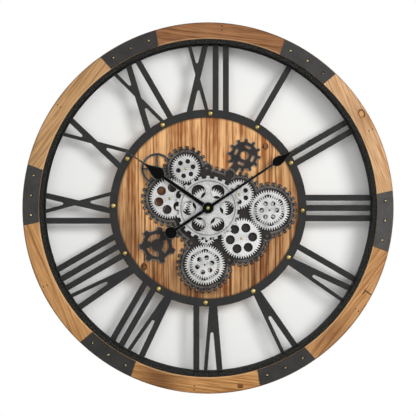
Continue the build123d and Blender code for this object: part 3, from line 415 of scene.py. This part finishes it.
# Black ABS with the fine spark texture of its mould
black_abs = coat_with_wear_and_painted_light("spark_textured_black_abs", "#121212", "#1c1c1c", "#2b2b2b", wear_and_glint=0.3, bevel=0.4,
                      roughness=0.5, grit=1.4, relief=0.05, shine=0.3)
# Pale ABS of the switch knob
pale_abs = coat_with_wear_and_painted_light("pale_abs", "#b9b8b0", "#cbcac2", "#dddcd5", wear_and_glint=0.3, bevel=0.3, roughness=0.45,
                     grit=1.4, relief=0.03)
# Zinc-plated steel: bluish grey with a faint crystalline cloud
zinc_steel = coat_with_wear_and_painted_light("zinc_plated_steel", "#8d9092", "#b4b6b7", "#d2d3d3", wear_and_glint=0.4, bevel=0.4,
                       roughness=0.36, grit=3.0, relief=0.02, metallic=1.0)
# Film on the dry cells
cell_sleeve = cell_jacket()


def added(name, data):
    """A new object in the scene."""
    thing = bpy.data.objects.new(name, data)
    bpy.context.scene.collection.objects.link(thing)
    return thing


def mesh_piece(name, mesh, material, body, depth, x=0.0, y=0.0, clock_angle=0.0, stands_for=()):
    """Turns a mesh to its clock angle, places it, rides it on a body and lets it stand for CAD nodes."""
    mesh.transform(Matrix.Rotation(-math.radians(clock_angle), 4, "Z"))
    mesh.materials.clear()
    mesh.materials.append(material)
    for polygon in mesh.polygons:
        polygon.use_smooth = True
    mesh.set_sharp_from_angle(angle=SMOOTH_ANGLE)
    piece = added(name, mesh)
    upright = Matrix.Rotation(math.pi / 2, 4, "X")
    piece.matrix_world = Matrix.Translation((x * MM, -depth * MM, y * MM)) @ upright
    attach(piece, body)
    if stands_for:
        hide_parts(*stands_for)
    return piece


def sheet(outlines, thickness, ease):
    """A flat sheet with rounded edges, its back at z = 0, from the outlines of its edge and its holes."""
    curve = bpy.data.curves.new("cut_sheet", "CURVE")
    curve.dimensions = "2D"
    curve.fill_mode = "BOTH"
    curve.extrude = (thickness / 2 - ease) * MM
    curve.bevel_depth = ease * MM
    curve.bevel_resolution = 2
    curve.offset = -ease * MM
    for outline in outlines:
        spline = curve.splines.new("POLY")
        spline.points.add(len(outline) - 1)
        for point, (x, y) in zip(spline.points, outline):
            point.co = (x * MM, y * MM, 0, 1)
        spline.use_cyclic_u = True
    cutter = added("cut_sheet", curve)
    bpy.context.view_layer.update()
    mesh = bpy.data.meshes.new_from_object(cutter.evaluated_get(bpy.context.evaluated_depsgraph_get()))
    bpy.data.objects.remove(cutter)
    mesh.transform(Matrix.Translation((0, 0, thickness / 2 * MM)))
    return mesh


def turned(profile, steps, closed=False):
    """A round piece about z from its profile of radius and height; a closed profile makes a ring."""
    form = bmesh.new()
    rings = []
    for radius, height in profile:
        if radius == 0:
            rings.append([form.verts.new((0, 0, height * MM))])
            continue
        turns = [math.tau * n / steps for n in range(steps)]
        rings.append([
            form.verts.new((radius * math.cos(t) * MM, radius * math.sin(t) * MM, height * MM))
            for t in turns
        ])
    pairs = list(zip(rings, rings[1:]))
    if closed:
        pairs.append((rings[-1], rings[0]))
    for lower, upper in pairs:
        for n in range(steps):
            corners = [lower[n % len(lower)], lower[(n + 1) % len(lower)]]
            corners += [upper[(n + 1) % len(upper)], upper[n % len(upper)]]
            form.faces.new(dict.fromkeys(corners))
    bmesh.ops.recalc_face_normals(form, faces=form.faces)
    mesh = bpy.data.meshes.new("turned")
    form.to_mesh(mesh)
    form.free()
    return mesh


def joined(meshes_at):
    """One mesh from several, each moved to its place (x, y, z)."""
    form = bmesh.new()
    for mesh, (x, y, z) in meshes_at:
        moved = mesh.copy()
        moved.transform(Matrix.Translation((x * MM, y * MM, z * MM)))
        form.from_mesh(moved)
    whole = bpy.data.meshes.new("joined")
    form.to_mesh(whole)
    form.free()
    return whole


def on_dial(radius, clock_angle):
    """The point at a radius and a clock angle."""
    turn = math.radians(clock_angle)
    return radius * math.sin(turn), radius * math.cos(turn)


def round_outline(radius, x=0.0, y=0.0, sides=40):
    """A circle as an outline."""
    turns = [math.tau * n / sides for n in range(sides)]
    return [(x + radius * math.cos(t), y + radius * math.sin(t)) for t in turns]


def toothed(teeth, profile, phase):
    """A toothed edge; the profile lists radius and place within one tooth's pitch."""
    points = []
    for tooth in range(teeth):
        for radius, place in profile:
            turn = math.radians(phase + 360 * (tooth + place) / teeth)
            points.append((radius * math.cos(turn), radius * math.sin(turn)))
    return points


# Camera square to the dial; distance from the rim and width of the picture there, in metres
CAMERA_DISTANCE = 2.9
PICTURE_WIDTH = 0.671
camera = bpy.data.cameras.new("camera")
camera.sensor_width = 36.0
camera.lens = camera.sensor_width * CAMERA_DISTANCE / PICTURE_WIDTH
camera_stand = added("camera", camera)
camera_stand.location = (0, -CAMERA_DISTANCE - RIM_DEPTH * MM, 0)
camera_stand.rotation_euler = (math.pi / 2, 0, 0)
bpy.context.scene.camera = camera_stand

# Rim: six sawn segments with eased edges; the first has the pocket for the hanger
RIM_OUTER, RIM_INNER = 299.7, 273.0
OUTER_EASE, INNER_EASE, BACK_EASE = 2.0, 1.3, 0.6
FIRST_JOINT, SEGMENT_ANGLE = -22.7, 60.0
SEGMENT_STEPS, EASE_STEPS = 48, 3
# Width, height, middle radius and depth of the hanger's recess, and of the room behind its keyhole
POCKETS = ((60.6, 21.6, 286.5, 4.2), (13.0, 18.0, 287.0, 14.2))
# Sunk heads of the two brads in each segment
BRADS = ((-14.6, 287.6, 1.3, 1.3), (-14.9, 294.0, 1.3, 1.3))
# Char, brown and honey of each segment, then its scorches, knots and cracks
segment_woods = (
    ("#4c2d17", "#73482a", "#a3734a", (), (), ()),
    ("#7c5431", "#b4814f", "#e2ba90", ((-40.0, 284.0, 50.0, 40.0, 0.35),),
     ((-44.9, 290.5, 8.0, 6.0, "#e2ab66"),), ()),
    ("#5f3a1e", "#9f6c3e", "#d09e6a", ((42.0, 284.0, 60.0, 40.0, 0.4),), (),
     ((-47.8, 288.0, 1.2, 10.0), (-44.0, 283.0, 5.0, 1.0))),
    ("#4f2a10", "#9f6936", "#d39f65", ((44.0, 284.0, 60.0, 50.0, 0.75),),
     ((-87.9, 281.0, 5.0, 4.0, "#7a4d27"),), ()),
    ("#5c3a1c", "#9f6e3d", "#cd9a64", (), (), ()),
    ("#60411f", "#a47a4e", "#cfa575", (), (), ()),
)


def rim_section():
    """The section of the rim as radius and depth, its outer edge eased more than its inner one."""
    points = [(RIM_INNER, BACK_EASE), (RIM_INNER, RIM_DEPTH - INNER_EASE)]
    for n in range(1, EASE_STEPS + 1):
        turn = math.pi / 2 * n / EASE_STEPS
        points.append((RIM_INNER + INNER_EASE * (1 - math.cos(turn)),
                       RIM_DEPTH - INNER_EASE * (1 - math.sin(turn))))
    for n in range(EASE_STEPS + 1):
        turn = math.pi / 2 * n / EASE_STEPS
        points.append((RIM_OUTER - OUTER_EASE * (1 - math.sin(turn)),
                       RIM_DEPTH - OUTER_EASE * (1 - math.cos(turn))))
    return points + [(RIM_OUTER, BACK_EASE), (RIM_OUTER - BACK_EASE, 0.0), (RIM_INNER + BACK_EASE, 0.0)]


def rim_segment_mesh():
    """A segment about its own middle, which lies at +y."""
    form = bmesh.new()
    section = rim_section()
    stations = []
    for n in range(SEGMENT_STEPS + 1):
        turn = math.radians(SEGMENT_ANGLE * (n / SEGMENT_STEPS - 0.5))
        stations.append([
            form.verts.new((r * math.sin(turn) * MM, r * math.cos(turn) * MM, d * MM)) for r, d in section
        ])
    for first, second in zip(stations, stations[1:]):
        for n in range(len(section)):
            m = (n + 1) % len(section)
            form.faces.new((first[n], first[m], second[m], second[n]))
    form.faces.new(stations[0])
    form.faces.new(stations[-1])
    bmesh.ops.recalc_face_normals(form, faces=form.faces)
    mesh = bpy.data.meshes.new("rim_segment")
    form.to_mesh(mesh)
    form.free()
    return mesh


def pocketed(mesh, clock_angle):
    """The segment with the hanger's recess and the deeper room behind the keyhole sunk in its back."""
    def block(width, height, middle, deep):
        """A box half sunk in the back."""
        form = bmesh.new()
        bmesh.ops.create_cube(form, size=1)
        size = Matrix.Diagonal((width * MM, height * MM, 2 * deep * MM, 1))
        turn = Matrix.Rotation(math.radians(clock_angle), 4, "Z")
        form.transform(turn @ Matrix.Translation((0, middle * MM, 0)) @ size)
        solid = bpy.data.meshes.new("pocket")
        form.to_mesh(solid)
        form.free()
        return added("pocket", solid)

    segment = added("segment", mesh)
    cutters = [block(*pocket) for pocket in POCKETS]
    for cutter in cutters:
        cut = segment.modifiers.new("pocket", "BOOLEAN")
        cut.operation = "DIFFERENCE"
        cut.object = cutter
    bpy.context.view_layer.update()
    cut_mesh = bpy.data.meshes.new_from_object(segment.evaluated_get(bpy.context.evaluated_depsgraph_get()))
    for thing in (segment, *cutters):
        bpy.data.objects.remove(thing)
    return cut_mesh


for number, (char_and_shadow, brown, honey, scorches_and_shadows, knots, cracks) in enumerate(segment_woods):
    segment_middle = FIRST_JOINT + (number + 0.5) * SEGMENT_ANGLE
    # The inner corner is rubbed pale and the outer one charred
    wood = oiled_pine(
        f"oiled_torched_pine_{number + 1}", segment_middle, RIM_DEPTH, char_and_shadow, brown, honey,
        offset=(1.7 * number, 3.1 * number, 0.9 * number), band_width=9, contrast=0.5, fleck=1.4,
        rings=((275.5, 274.0, "#eec592", 0.4), (297.0, 299.2, char_and_shadow, 0.6)),
        scorches_and_shadows=scorches_and_shadows, knots=knots, pits=(*cracks, *BRADS),
    )
    segment_form = rim_segment_mesh()
    if number == 0:
        segment_form = pocketed(segment_form, segment_middle)
    mesh_piece(f"rim_wood_{number + 1}", segment_form, wood, "clock_frame", 0.0, clock_angle=segment_middle,
               stands_for=(f"rim_segment_{number + 1}",))

# Plates over the rim joints, each with three domed nails
FIRST_PLATE, PLATE_THICKNESS, PLATE_STEPS = 34.1, 1.5, 24
# Radius and arc of a plate's outer edge, and of its inner one, which is drawn backwards
PLATE_EDGES = ((298.7, 19.0), (273.2, -17.8))
NAIL_PITCH, NAIL_CIRCLE = 6.4, 286.0
plate_edge = []
for radius, arc in PLATE_EDGES:
    for n in range(PLATE_STEPS + 1):
        plate_edge.append(on_dial(radius, arc * (n / PLATE_STEPS - 0.5)))
nail = turned([(0, 0), (2.75, 0), (2.75, 0.15), (2.45, 0.5), (1.8, 0.78), (0.9, 0.93), (0, 0.97)], steps=24)
nail_places = [on_dial(NAIL_CIRCLE, n * NAIL_PITCH) for n in (-1, 0, 1)]
for number, paint in enumerate(charcoal_steel):
    plate_angle = FIRST_PLATE + SEGMENT_ANGLE * number
    plate = sheet([plate_edge], PLATE_THICKNESS, ease=0.3)
    mesh_piece(f"joint_plate_{number + 1}", plate, paint, "clock_frame", RIM_DEPTH, clock_angle=plate_angle,
               stands_for=("rim_plates",))
    mesh_piece(f"plate_nails_{number + 1}", joined([(nail, (x, y, 0)) for x, y in nail_places]), dark_brass,
               "clock_frame", RIM_DEPTH + PLATE_THICKNESS, clock_angle=plate_angle)

# Hoop: a rolled angle section, and the ring that the numerals stand on
RING_THICKNESS = 2.0
hoop_section = [(265.6, 0.3), (265.9, 0), (267.3, 0), (267.6, 0.3), (267.6, 43.7), (267.9, 44), (272.7, 44),
                (273.05, 44.3), (273.05, 45.6), (272.7, 46), (266.4, 46), (265.8, 45.8), (265.6, 45.2)]
mesh_piece("angle_iron_hoop", turned(hoop_section, steps=240, closed=True), hoop_coat, "clock_frame", 0.0,
           stands_for=("rim_hoop",))
ring_section = [(147.3, 0), (160, 0), (160, 1.7), (159.7, RING_THICKNESS), (147.6, RING_THICKNESS),
                (147.3, 1.7)]
mesh_piece("numeral_ring", turned(ring_section, steps=200, closed=True), black_iron, "clock_frame",
           DISC_FRONT, stands_for=("inner_ring",))

# Domed studs on the ring
STUD_CIRCLE, FIRST_STUD = 153.65, 1.4
stud = turned([(0, -7), (1, -7), (1, 0), (4.7, 0), (4.7, 0.3), (4.35, 1.3), (3.5, 2.3), (2.2, 2.95),
               (1.0, 3.16), (0, 3.2)], steps=32)
stud_places = [on_dial(STUD_CIRCLE, FIRST_STUD + 30 * n) for n in range(12)]
mesh_piece("ring_studs", joined([(stud, (x, y, 0)) for x, y in stud_places]), antique_brass, "clock_frame",
           DISC_FRONT + RING_THICKNESS, stands_for=("dial_studs",))

# Webs that round off the narrow ends of the notches in the fives and tens
NUMERALS = {4: "IV", 5: "V", 6: "VI", 7: "VII", 8: "VIII", 9: "IX", 10: "X", 11: "XI", 12: "XII"}
NUMERAL_FOOT, NUMERAL_LENGTH = 160.1, 105.4
LETTER_WIDTHS = {"I": 9.7, "V": 31.0, "X": 34.5}
LETTER_GAP = 6.9
WEB_THICKNESS, WEB_SETBACK, WEB_OVERLAP, WEB_STEPS = 1.8, 0.1, 0.5, 8
# Each side of a notch: its place at the foot and its lean; then the radii of the sharp and the round end
LETTER_NOTCHES = {
    "I": (),
    "V": ((3.0, -8.8, 0.6, 8.8, 171.0, 202.0),),
    "X": ((-7.55, 24.8, 11.15, -28.4, 199.0, 191.0), (17.25, -28.4, -17.25, 24.8, 226.5, 235.0)),
}


def notch_web(middle, low_left, lean_left, low_right, lean_right, sharp, blunt):
    """The outline of a web from a notch's sharp end to a hollow round end."""
    def side(low, lean, height):
        """Where a side of the notch is at a height."""
        return middle + low + lean * (height - NUMERAL_FOOT) / NUMERAL_LENGTH

    left_end = side(low_left, lean_left, blunt)
    right_end = side(low_right, lean_right, blunt)
    half = (right_end - left_end) / 2
    rise = math.copysign(half, blunt - sharp)
    points = [((side(low_left, lean_left, sharp) + side(low_right, lean_right, sharp)) / 2, sharp)]
    points.append((right_end + WEB_OVERLAP, blunt + rise))
    for n in range(WEB_STEPS + 1):
        turn = math.pi * n / WEB_STEPS
        points.append((left_end + half + half * math.cos(turn), blunt + rise * (1 - math.sin(turn))))
    points.append((left_end - WEB_OVERLAP, blunt + rise))
    return points


for number, word in NUMERALS.items():
    start = -(sum(LETTER_WIDTHS[letter] for letter in word) + LETTER_GAP * (len(word) - 1)) / 2
    webs = []
    for letter in word:
        letter_middle = start + LETTER_WIDTHS[letter] / 2
        for notch in LETTER_NOTCHES[letter]:
            web = sheet([notch_web(letter_middle, *notch)], WEB_THICKNESS, ease=0.1)
            webs.append((web, (0, 0, WEB_SETBACK)))
        start += LETTER_WIDTHS[letter] + LETTER_GAP
    mesh_piece(f"numeral_{number}_webs", joined(webs), black_iron, "clock_frame", DISC_FRONT,
               clock_angle=30 * number)

# Disc: pine boards with the grain upright, darker at the sides and low down; painted shadow darkens the
# wood seen through the holes of the left and bottom wheels and of the case's ornamental wheel, and along
# the case's lower left
DISC_DARKENING_AND_SHADOWS = (
    (-150.0, 60.0, 190.0, 90.0, 0.5), (-120.0, -80.0, 200.0, 80.0, 0.5), (0.0, 150.0, 120.0, 60.0, 0.4),
    (0.0, -140.0, 140.0, 50.0, 0.4), (16.0, 84.0, 30.0, 30.0, 0.95), (16.0, 78.0, 26.0, 20.0, 1.0),
    (15.3, 64.0, 42.0, 40.0, 0.95), (-92.0, 5.3, 34.0, 34.0, 0.9), (-59.0, 84.4, 44.0, 36.0, 0.5),
    (-100.0, 50.0, 36.0, 18.0, 0.6), (-124.0, 34.0, 24.0, 18.0, 0.6), (-135.0, 5.0, 18.0, 56.0, 0.8),
    (-48.0, 126.0, 70.0, 30.0, 0.5),
)
DISC_KNOTS = ((100.4, -90.5, 6.5, 5.4, "#8a5a30"), (-95.4, 106.0, 6.5, 5.4, "#8a5a30"))
# Cracks in the knots
DISC_CRACKS = (
    (100.4, -90.5, 3.4, 0.9), (98.6, -89.2, 0.9, 3.0), (-95.4, 106.0, 3.2, 0.9), (-94.0, 104.8, 0.9, 3.2),
)
disc_wood = oiled_pine(
    "upright_torched_pine", -90.0, DISC_FRONT - DISC_BACK, "#4a2810", "#9a5c2d", "#ebb87f",
    offset=(4.3, 1.9, 0.4), band_width=12, contrast=1.1, fleck=0.5,
    # The dark band inside the numeral ring is painted shadow of the ring on the wood
    rings=((143.6, 147.3, "#2a1a0e", 0.65),),
    scorches_and_shadows=DISC_DARKENING_AND_SHADOWS, knots=DISC_KNOTS, pits=DISC_CRACKS, torched=(75.0, -45.0),
)
disc_section = [(0, 0), (155.7, 0), (156.3, 0.6), (156.3, 8.4), (155.7, 9), (0, 9)]
mesh_piece("pine_disc", turned(disc_section, steps=160), disc_wood, "clock_frame", DISC_BACK,
           stands_for=("dial_disc",))

# Blunt teeth over the pointed ones round the case, left out where another round of it covers them
CENTRE_ROUND, ROUND_MARGIN, CASE_LIMIT = 61.0, 4.8, 146.0
CASE_BAND, CASE_PITCH, CASE_TOOTH = 2.0, 9.4, 5.6
TOOTH_SINK, FOOT_HALF, TIP_HALF = 1.0, 3.2, 2.3
TOOTH_THICKNESS = FLOOR_FRONT - DISC_FRONT - 0.1
case_rounds = [(0.0, 0.0, CENTRE_ROUND)]
for x, y, teeth, _ in (upper_left, left, upper_right, right, lower_right, bottom):
    case_rounds.append((x, y, MODULE * (teeth / 2 + TOOTH_ABOVE) + ROUND_MARGIN))
case_teeth = []
for case_round in case_rounds:
    x, y, radius = case_round
    foot = radius + CASE_BAND
    tip = foot + CASE_TOOTH
    count = round(math.tau * foot / CASE_PITCH)
    others = [other for other in case_rounds if other is not case_round]
    for n in range(count):
        turn = math.tau * n / count
        out_x, out_y = math.cos(turn), math.sin(turn)
        tip_x, tip_y = x + tip * out_x, y + tip * out_y
        covered = any(math.hypot(tip_x - a, tip_y - b) < c + CASE_BAND + CASE_TOOTH for a, b, c in others)
        if covered or math.hypot(tip_x, tip_y) > CASE_LIMIT:
            continue
        block = []
        sunk = foot - TOOTH_SINK
        for reach, half in ((sunk, -FOOT_HALF), (tip, -TIP_HALF), (tip, TIP_HALF), (sunk, FOOT_HALF)):
            block.append((x + reach * out_x - half * out_y, y + reach * out_y + half * out_x))
        case_teeth.append((sheet([block], TOOTH_THICKNESS, ease=0.4), (0, 0, 0)))
mesh_piece("case_teeth", joined(case_teeth), tooth_resin, "clock_frame", DISC_FRONT)

# Wheels of the train: toothed sheets with six round holes and a hub behind
# Circle and radius of the holes
LARGE_HOLES, SMALL_HOLES, IDLER_HOLES = (18.2, 7.4), (12.2, 3.8), (7.6, 2.2)
PIN_BORE, PIN_HUB = 1.38, 4.38
CENTRE_BORE, CENTRE_HUB = 4.08, 9.0
# Collar between a wheel and the one in front of it
COLLAR_RADIUS, COLLAR_BORE = 5.0, 2.2
COLLAR_LENGTH = FRONT_WHEEL_BACK - WHEEL_BACK - WHEEL_THICKNESS


def wheel_sheet(teeth, phase, holes, hole_angle, bore):
    """A wheel's toothed disc with its bore and holes."""
    tip = MODULE * (teeth / 2 + TOOTH_ABOVE)
    root = MODULE * (teeth / 2 - TOOTH_BELOW)
    edge = toothed(teeth, ((tip, -0.07), (tip, 0.07), (root, 0.43), (root, 0.57)), phase)
    circle, radius = holes
    places = [on_dial(circle, hole_angle + 60 * n) for n in range(6)]
    cuts = [round_outline(radius, x, y, sides=28) for x, y in places]
    return sheet([edge, round_outline(bore, sides=24), *cuts], WHEEL_THICKNESS, ease=0.22)


def hub(outer, bore, length):
    """A plain ring about a bore."""
    return turned([(bore, 0), (outer, 0), (outer, length), (bore, length)], steps=32, closed=True)


for name, wheel, holes, hole_angle in (
    ("upper_left", upper_left, SMALL_HOLES, 16.0),
    ("left", left, LARGE_HOLES, 13.0),
    ("upper_right", upper_right, SMALL_HOLES, 57.5),
    ("lower_right", lower_right, LARGE_HOLES, 23.0),
    ("idler", idler, IDLER_HOLES, 0.0),
    ("bottom", bottom, LARGE_HOLES, 2.0),
    ("right", right, LARGE_HOLES, 53.5),
    ("centre", centre, LARGE_HOLES, 48.0),
):
    x, y, teeth, phase = wheel
    bore, hub_radius = (CENTRE_BORE, CENTRE_HUB) if name == "centre" else (PIN_BORE, PIN_HUB)
    made = [(wheel_sheet(teeth, phase, holes, hole_angle, bore), (0, 0, WHEEL_BACK - HUB_BACK)),
            (hub(hub_radius, bore, WHEEL_BACK - HUB_BACK), (0, 0, 0))]
    if name in ("right", "centre", "bottom"):
        made.append((hub(max(hub_radius, COLLAR_RADIUS), max(bore, COLLAR_BORE), COLLAR_LENGTH),
                     (0, 0, WHEEL_BACK + WHEEL_THICKNESS - HUB_BACK)))
    silver = {"lower_right": lighter_silver, "upper_left": darker_silver}.get(name, silver_paint)
    mesh_piece(f"{name}_silver_wheel", joined(made), silver, name, HUB_BACK, x, y,
               stands_for=(f"{name}_wheel",))

for name, carrier, hole_angle in (("bottom", bottom, 15.0), ("right", right, 30.0)):
    front_sheet = wheel_sheet(SMALL_TEETH, 90 - hole_angle, SMALL_HOLES, hole_angle, PIN_BORE)
    mesh_piece(f"{name}_silver_front_wheel", front_sheet, silver_paint, name, FRONT_WHEEL_BACK, carrier[0],
               carrier[1], stands_for=(f"{name}_front_wheel",))

# Large front wheel with square teeth, and a line engraved round its face
FRONT_TIP, FRONT_ROOT, FRONT_TEETH = 52.0, 47.8, 24
FRONT_CIRCLE, FRONT_HOLE = 30.4, 11.5
GROOVE_INNER, GROOVE_OUTER, GROOVE_DEPTH = 43.1, 44.9, 1.4
square_tooth = ((FRONT_ROOT, -0.25), (FRONT_TIP, -0.175), (FRONT_TIP, 0.175), (FRONT_ROOT, 0.25))
front_edge = toothed(FRONT_TEETH, square_tooth, phase=90)
front_bore = round_outline(CENTRE_BORE, sides=28)
front_cuts = [round_outline(FRONT_HOLE, *on_dial(FRONT_CIRCLE, 90 - 60 * n)) for n in range(6)]
groove_floor = WHEEL_THICKNESS - GROOVE_DEPTH
lower_layer = sheet([front_edge, front_bore, *front_cuts], groove_floor, ease=0.15)
outer_layer = sheet([front_edge, round_outline(GROOVE_OUTER, sides=96)], GROOVE_DEPTH, ease=0.12)
inner_layer = sheet([round_outline(GROOVE_INNER, sides=96), front_bore, *front_cuts], GROOVE_DEPTH,
                    ease=0.12)
layers = ((lower_layer, 0.0), (outer_layer, groove_floor), (inner_layer, groove_floor))
front_wheel = joined([(layer, (0, 0, back)) for layer, back in layers])
mesh_piece("centre_silver_front_wheel", front_wheel, darker_silver, "centre", FRONT_WHEEL_BACK,
           stands_for=("centre_front_wheel",))

# Pins with domed heads
pin = turned([(0, 0), (0.8, 0), (0.8, 3), (1.3, 3), (1.3, 8.2), (2.0, 8.2), (2.0, 8.7), (1.5, 9.05),
              (0, 9.2)], steps=24)
pinned = (upper_left, left, upper_right, lower_right, bottom, idler)
mesh_piece("wheel_pins", joined([(pin, (wheel[0], wheel[1], 0)) for wheel in pinned]), antique_brass,
           "clock_frame", DISC_FRONT, stands_for=("axle_pins",))

# Hands: half widths of the waist beyond the spade and of the tip, then the minute hand's tail
HAND_WAIST, HAND_TIP = 1.5, 0.4
BULB, TAIL, TAIL_WIDTH = 10.2, 72.0, 5.3


def bend(start, leave, arrive, end, steps=14):
    """Points of a smooth bend between two points with two handles."""
    points = []
    for n in range(1, steps + 1):
        t = n / steps
        weights = ((1 - t) ** 3, 3 * t * (1 - t) ** 2, 3 * t * t * (1 - t), t ** 3)
        points.append(tuple(sum(w * p[axis] for w, p in zip(weights, (start, leave, arrive, end)))
                            for axis in (0, 1)))
    return points


def spade_side(shank, spade, begin, finish, length):
    """The right-hand edge of a spade hand from the narrow end of its shank to its tip."""
    belly = begin + 0.27 * (finish - begin)
    foot, swell, waist = (shank / 2, begin), (spade / 2, belly), (HAND_WAIST, finish)
    side = [foot]
    # Handles of the bends into the belly and out to the waist
    shoulder = shank / 2 + 0.62 * (spade - shank) / 2
    side += bend(foot, (shoulder, begin + 1.0), (spade / 2, belly - 4.0), swell)
    side += bend(swell, (spade / 2, belly + 6.0), (3.0, finish - 12.0), waist)
    return side + [(HAND_TIP, length)]


def hub_arc(radius, start, finish, steps=24):
    """An arc about a hub from one clock angle to another."""
    turns = [math.radians(start + (finish - start) * n / steps) for n in range(steps + 1)]
    return [(radius * math.sin(t), radius * math.cos(t)) for t in turns]


def hand_outline(shank, hub_radius, side, tail=()):
    """The whole edge of a hand, from its right side round its hub and tail to its left side."""
    lean = math.degrees(math.asin(shank / 2 / hub_radius))
    half = side[::-1] + hub_arc(hub_radius, lean, 180 - lean if tail else 180) + list(tail)
    return half + [(-x, y) for x, y in half[::-1] if x > 1e-6]


hour_side = spade_side(shank=6.0, spade=21.0, begin=88.0, finish=126.0, length=162.5)
hour_edge = hand_outline(shank=7.0, hub_radius=7.5, side=hour_side)
neck = math.degrees(math.asin(TAIL_WIDTH / 2 / BULB))
tail_bulb = [(x, y - TAIL) for x, y in hub_arc(BULB, neck, 180)]
minute_side = spade_side(shank=3.5, spade=15.4, begin=126.0, finish=162.0, length=198.0)
minute_edge = hand_outline(shank=TAIL_WIDTH, hub_radius=9.4, side=minute_side, tail=tail_bulb)
# Edge, bore, depth and clock angle at rest
for name, edge, bore, back, rest_angle in (
    ("hour", hour_edge, 2.6, HOUR_HAND_BACK, 304.8),
    ("minute", minute_edge, 1.7, MINUTE_HAND_BACK, 56.2),
):
    blade = sheet([edge, round_outline(bore, sides=24)], HAND_THICKNESS, ease=0.3)
    mesh_piece(f"{name}_spade_hand", blade, black_enamel, name, back, clock_angle=rest_angle,
               stands_for=(f"{name}_hand",))
cap = turned([(0, 0), (3.3, 0), (3.3, 1.5), (3.1, 1.9), (2.5, 2.5), (1.5, 2.95), (0, 3.1)], steps=32)
mesh_piece("hand_cap_nut", cap, antique_brass, "minute", MINUTE_HAND_BACK + HAND_THICKNESS,
           stands_for=("hand_nut",))

# Dry cells with their crimped caps, lying along X behind the disc
CELL_LENGTH, CELL_DEPTH = 50.5, 9.1
CELL_PLACES = ((0.0, -18.9), (-88.0, -8.3), (-88.0, 8.3))
cell = turned([(0, 0), (4.5, 0), (6.4, 0.3), (7.1, 0.9), (7.25, 1.4), (7.25, 47.8), (6.6, 48.6),
               (2.75, 48.6), (2.75, 50.2), (2.4, CELL_LENGTH), (0, CELL_LENGTH)], steps=40)
for number, (x, z) in enumerate(CELL_PLACES):
    dry_cell = mesh_piece(f"dry_cell_{number + 1}", cell.copy(), cell_sleeve, "clock_frame", 0.0,
                          stands_for=("battery_cells",))
    cell_end = Matrix.Translation(((x - CELL_LENGTH / 2) * MM, -CELL_DEPTH * MM, z * MM))
    dry_cell.matrix_world = cell_end @ Matrix.Rotation(math.pi / 2, 4, "Y")

# Setting knob with a scalloped edge and a stem
KNOB_RADIUS, KNOB_THICKNESS, KNOB_BACK, KNOB_HEIGHT = 6.5, 2.0, 0.6, 14.0
STEM_RADIUS, STEM_LENGTH = 2.0, 4.4
SCALLOPS, SCALLOP_DEPTH, KNOB_SIDES = 24, 0.35, 192
knob_edge = []
for n in range(KNOB_SIDES):
    turn = math.tau * n / KNOB_SIDES
    radius = KNOB_RADIUS - SCALLOP_DEPTH * (1 - math.cos(SCALLOPS * turn))
    knob_edge.append((radius * math.cos(turn), radius * math.sin(turn)))
stem = turned([(0, 0), (STEM_RADIUS, 0), (STEM_RADIUS, STEM_LENGTH), (0, STEM_LENGTH)], steps=24)
knob = joined([(sheet([knob_edge], KNOB_THICKNESS, ease=0.3), (0, 0, 0)), (stem, (0, 0, KNOB_THICKNESS))])
mesh_piece("scalloped_knob", knob, black_abs, "setting_knob", KNOB_BACK, 0.0, KNOB_HEIGHT,
           stands_for=("setting_knob",))

# CAD nodes that stay take a finish, and their edges are eased
for name, material, ease in (
    *((f"numeral_{n}", black_iron, 0.3) for n in range(1, 13)),
    ("gear_case", case_resin, 0.5),
    ("case_screws", zinc_steel, 0.3),
    ("movement_case", black_abs, 0.6),
    ("movement_cover", black_abs, 0.6),
    ("battery_box", black_abs, 0.4),
    ("gear_motor", black_abs, 0.8),
    ("power_switch", pale_abs, 0.4),
    ("centre_bushing", antique_brass, 0.2),
    ("bushing_nut", antique_brass, 0.3),
    ("hour_tube", antique_brass, 0.1),
    ("minute_shaft", zinc_steel, 0.1),
    ("hanger_plate", zinc_steel, 0.3),
    ("hanger_screws", zinc_steel, 0.3),
):
    node = nodes[name]
    for holder in node.material_slots:
        holder.material = material
    weld = node.modifiers.new("weld", "WELD")
    weld.merge_threshold = 1e-6
    eased = node.modifiers.new("eased_edges", "BEVEL")
    eased.width = ease * MM
    eased.segments = 2
    eased.limit_method = "ANGLE"
    eased.angle_limit = SMOOTH_ANGLE

# Wall, and lamps aimed at the clock's middle: place and size in metres, power in watts
WALL_SIZE, WALL_GAP = 8.0, 0.0006
bpy.ops.mesh.primitive_plane_add(size=WALL_SIZE, location=(0, WALL_GAP, 0), rotation=(math.pi / 2, 0, 0))
wall = bpy.context.object
wall.name = "wall"
wall.data.materials.append(plaster_wall())

for name, lamp_place, size, power in (
    ("window_light", (1.9, -2.6, 0.95), 1.4, 63.0),
    ("soft_front_light", (0.0, -3.0, 0.4), 3.2, 42.0),
    ("soft_back_light", (-0.9, 3.0, 1.1), 2.6, 60.0),
):
    lamp = bpy.data.lights.new(name, "AREA")
    lamp.shape = "DISK"
    lamp.size = size
    lamp.energy = power
    stand = added(name, lamp)
    stand.location = lamp_place
    stand.rotation_mode = "QUATERNION"
    stand.rotation_quaternion = (-Vector(lamp_place)).to_track_quat("-Z", "Y")

# White surroundings that give less light than they show
SKY_LIGHT, SKY_SHOWN = 0.22, 1.0
world = bpy.data.worlds.new("white_studio")
bpy.context.scene.world = world
world.use_nodes = True
world_tree = world.node_tree
world_tree.nodes.clear()
level = put(world_tree, "MapRange", {"To Min": SKY_LIGHT, "To Max": SKY_SHOWN},
            {"Value": seen_rays(world_tree)})
sky = put(world_tree, "Background", {"Color": (1, 1, 1, 1)}, {"Strength": level.outputs["Result"]})
put(world_tree, "OutputWorld", {}, {"Surface": sky.outputs[0]})
bpy.context.scene.view_settings.view_transform = "Standard"
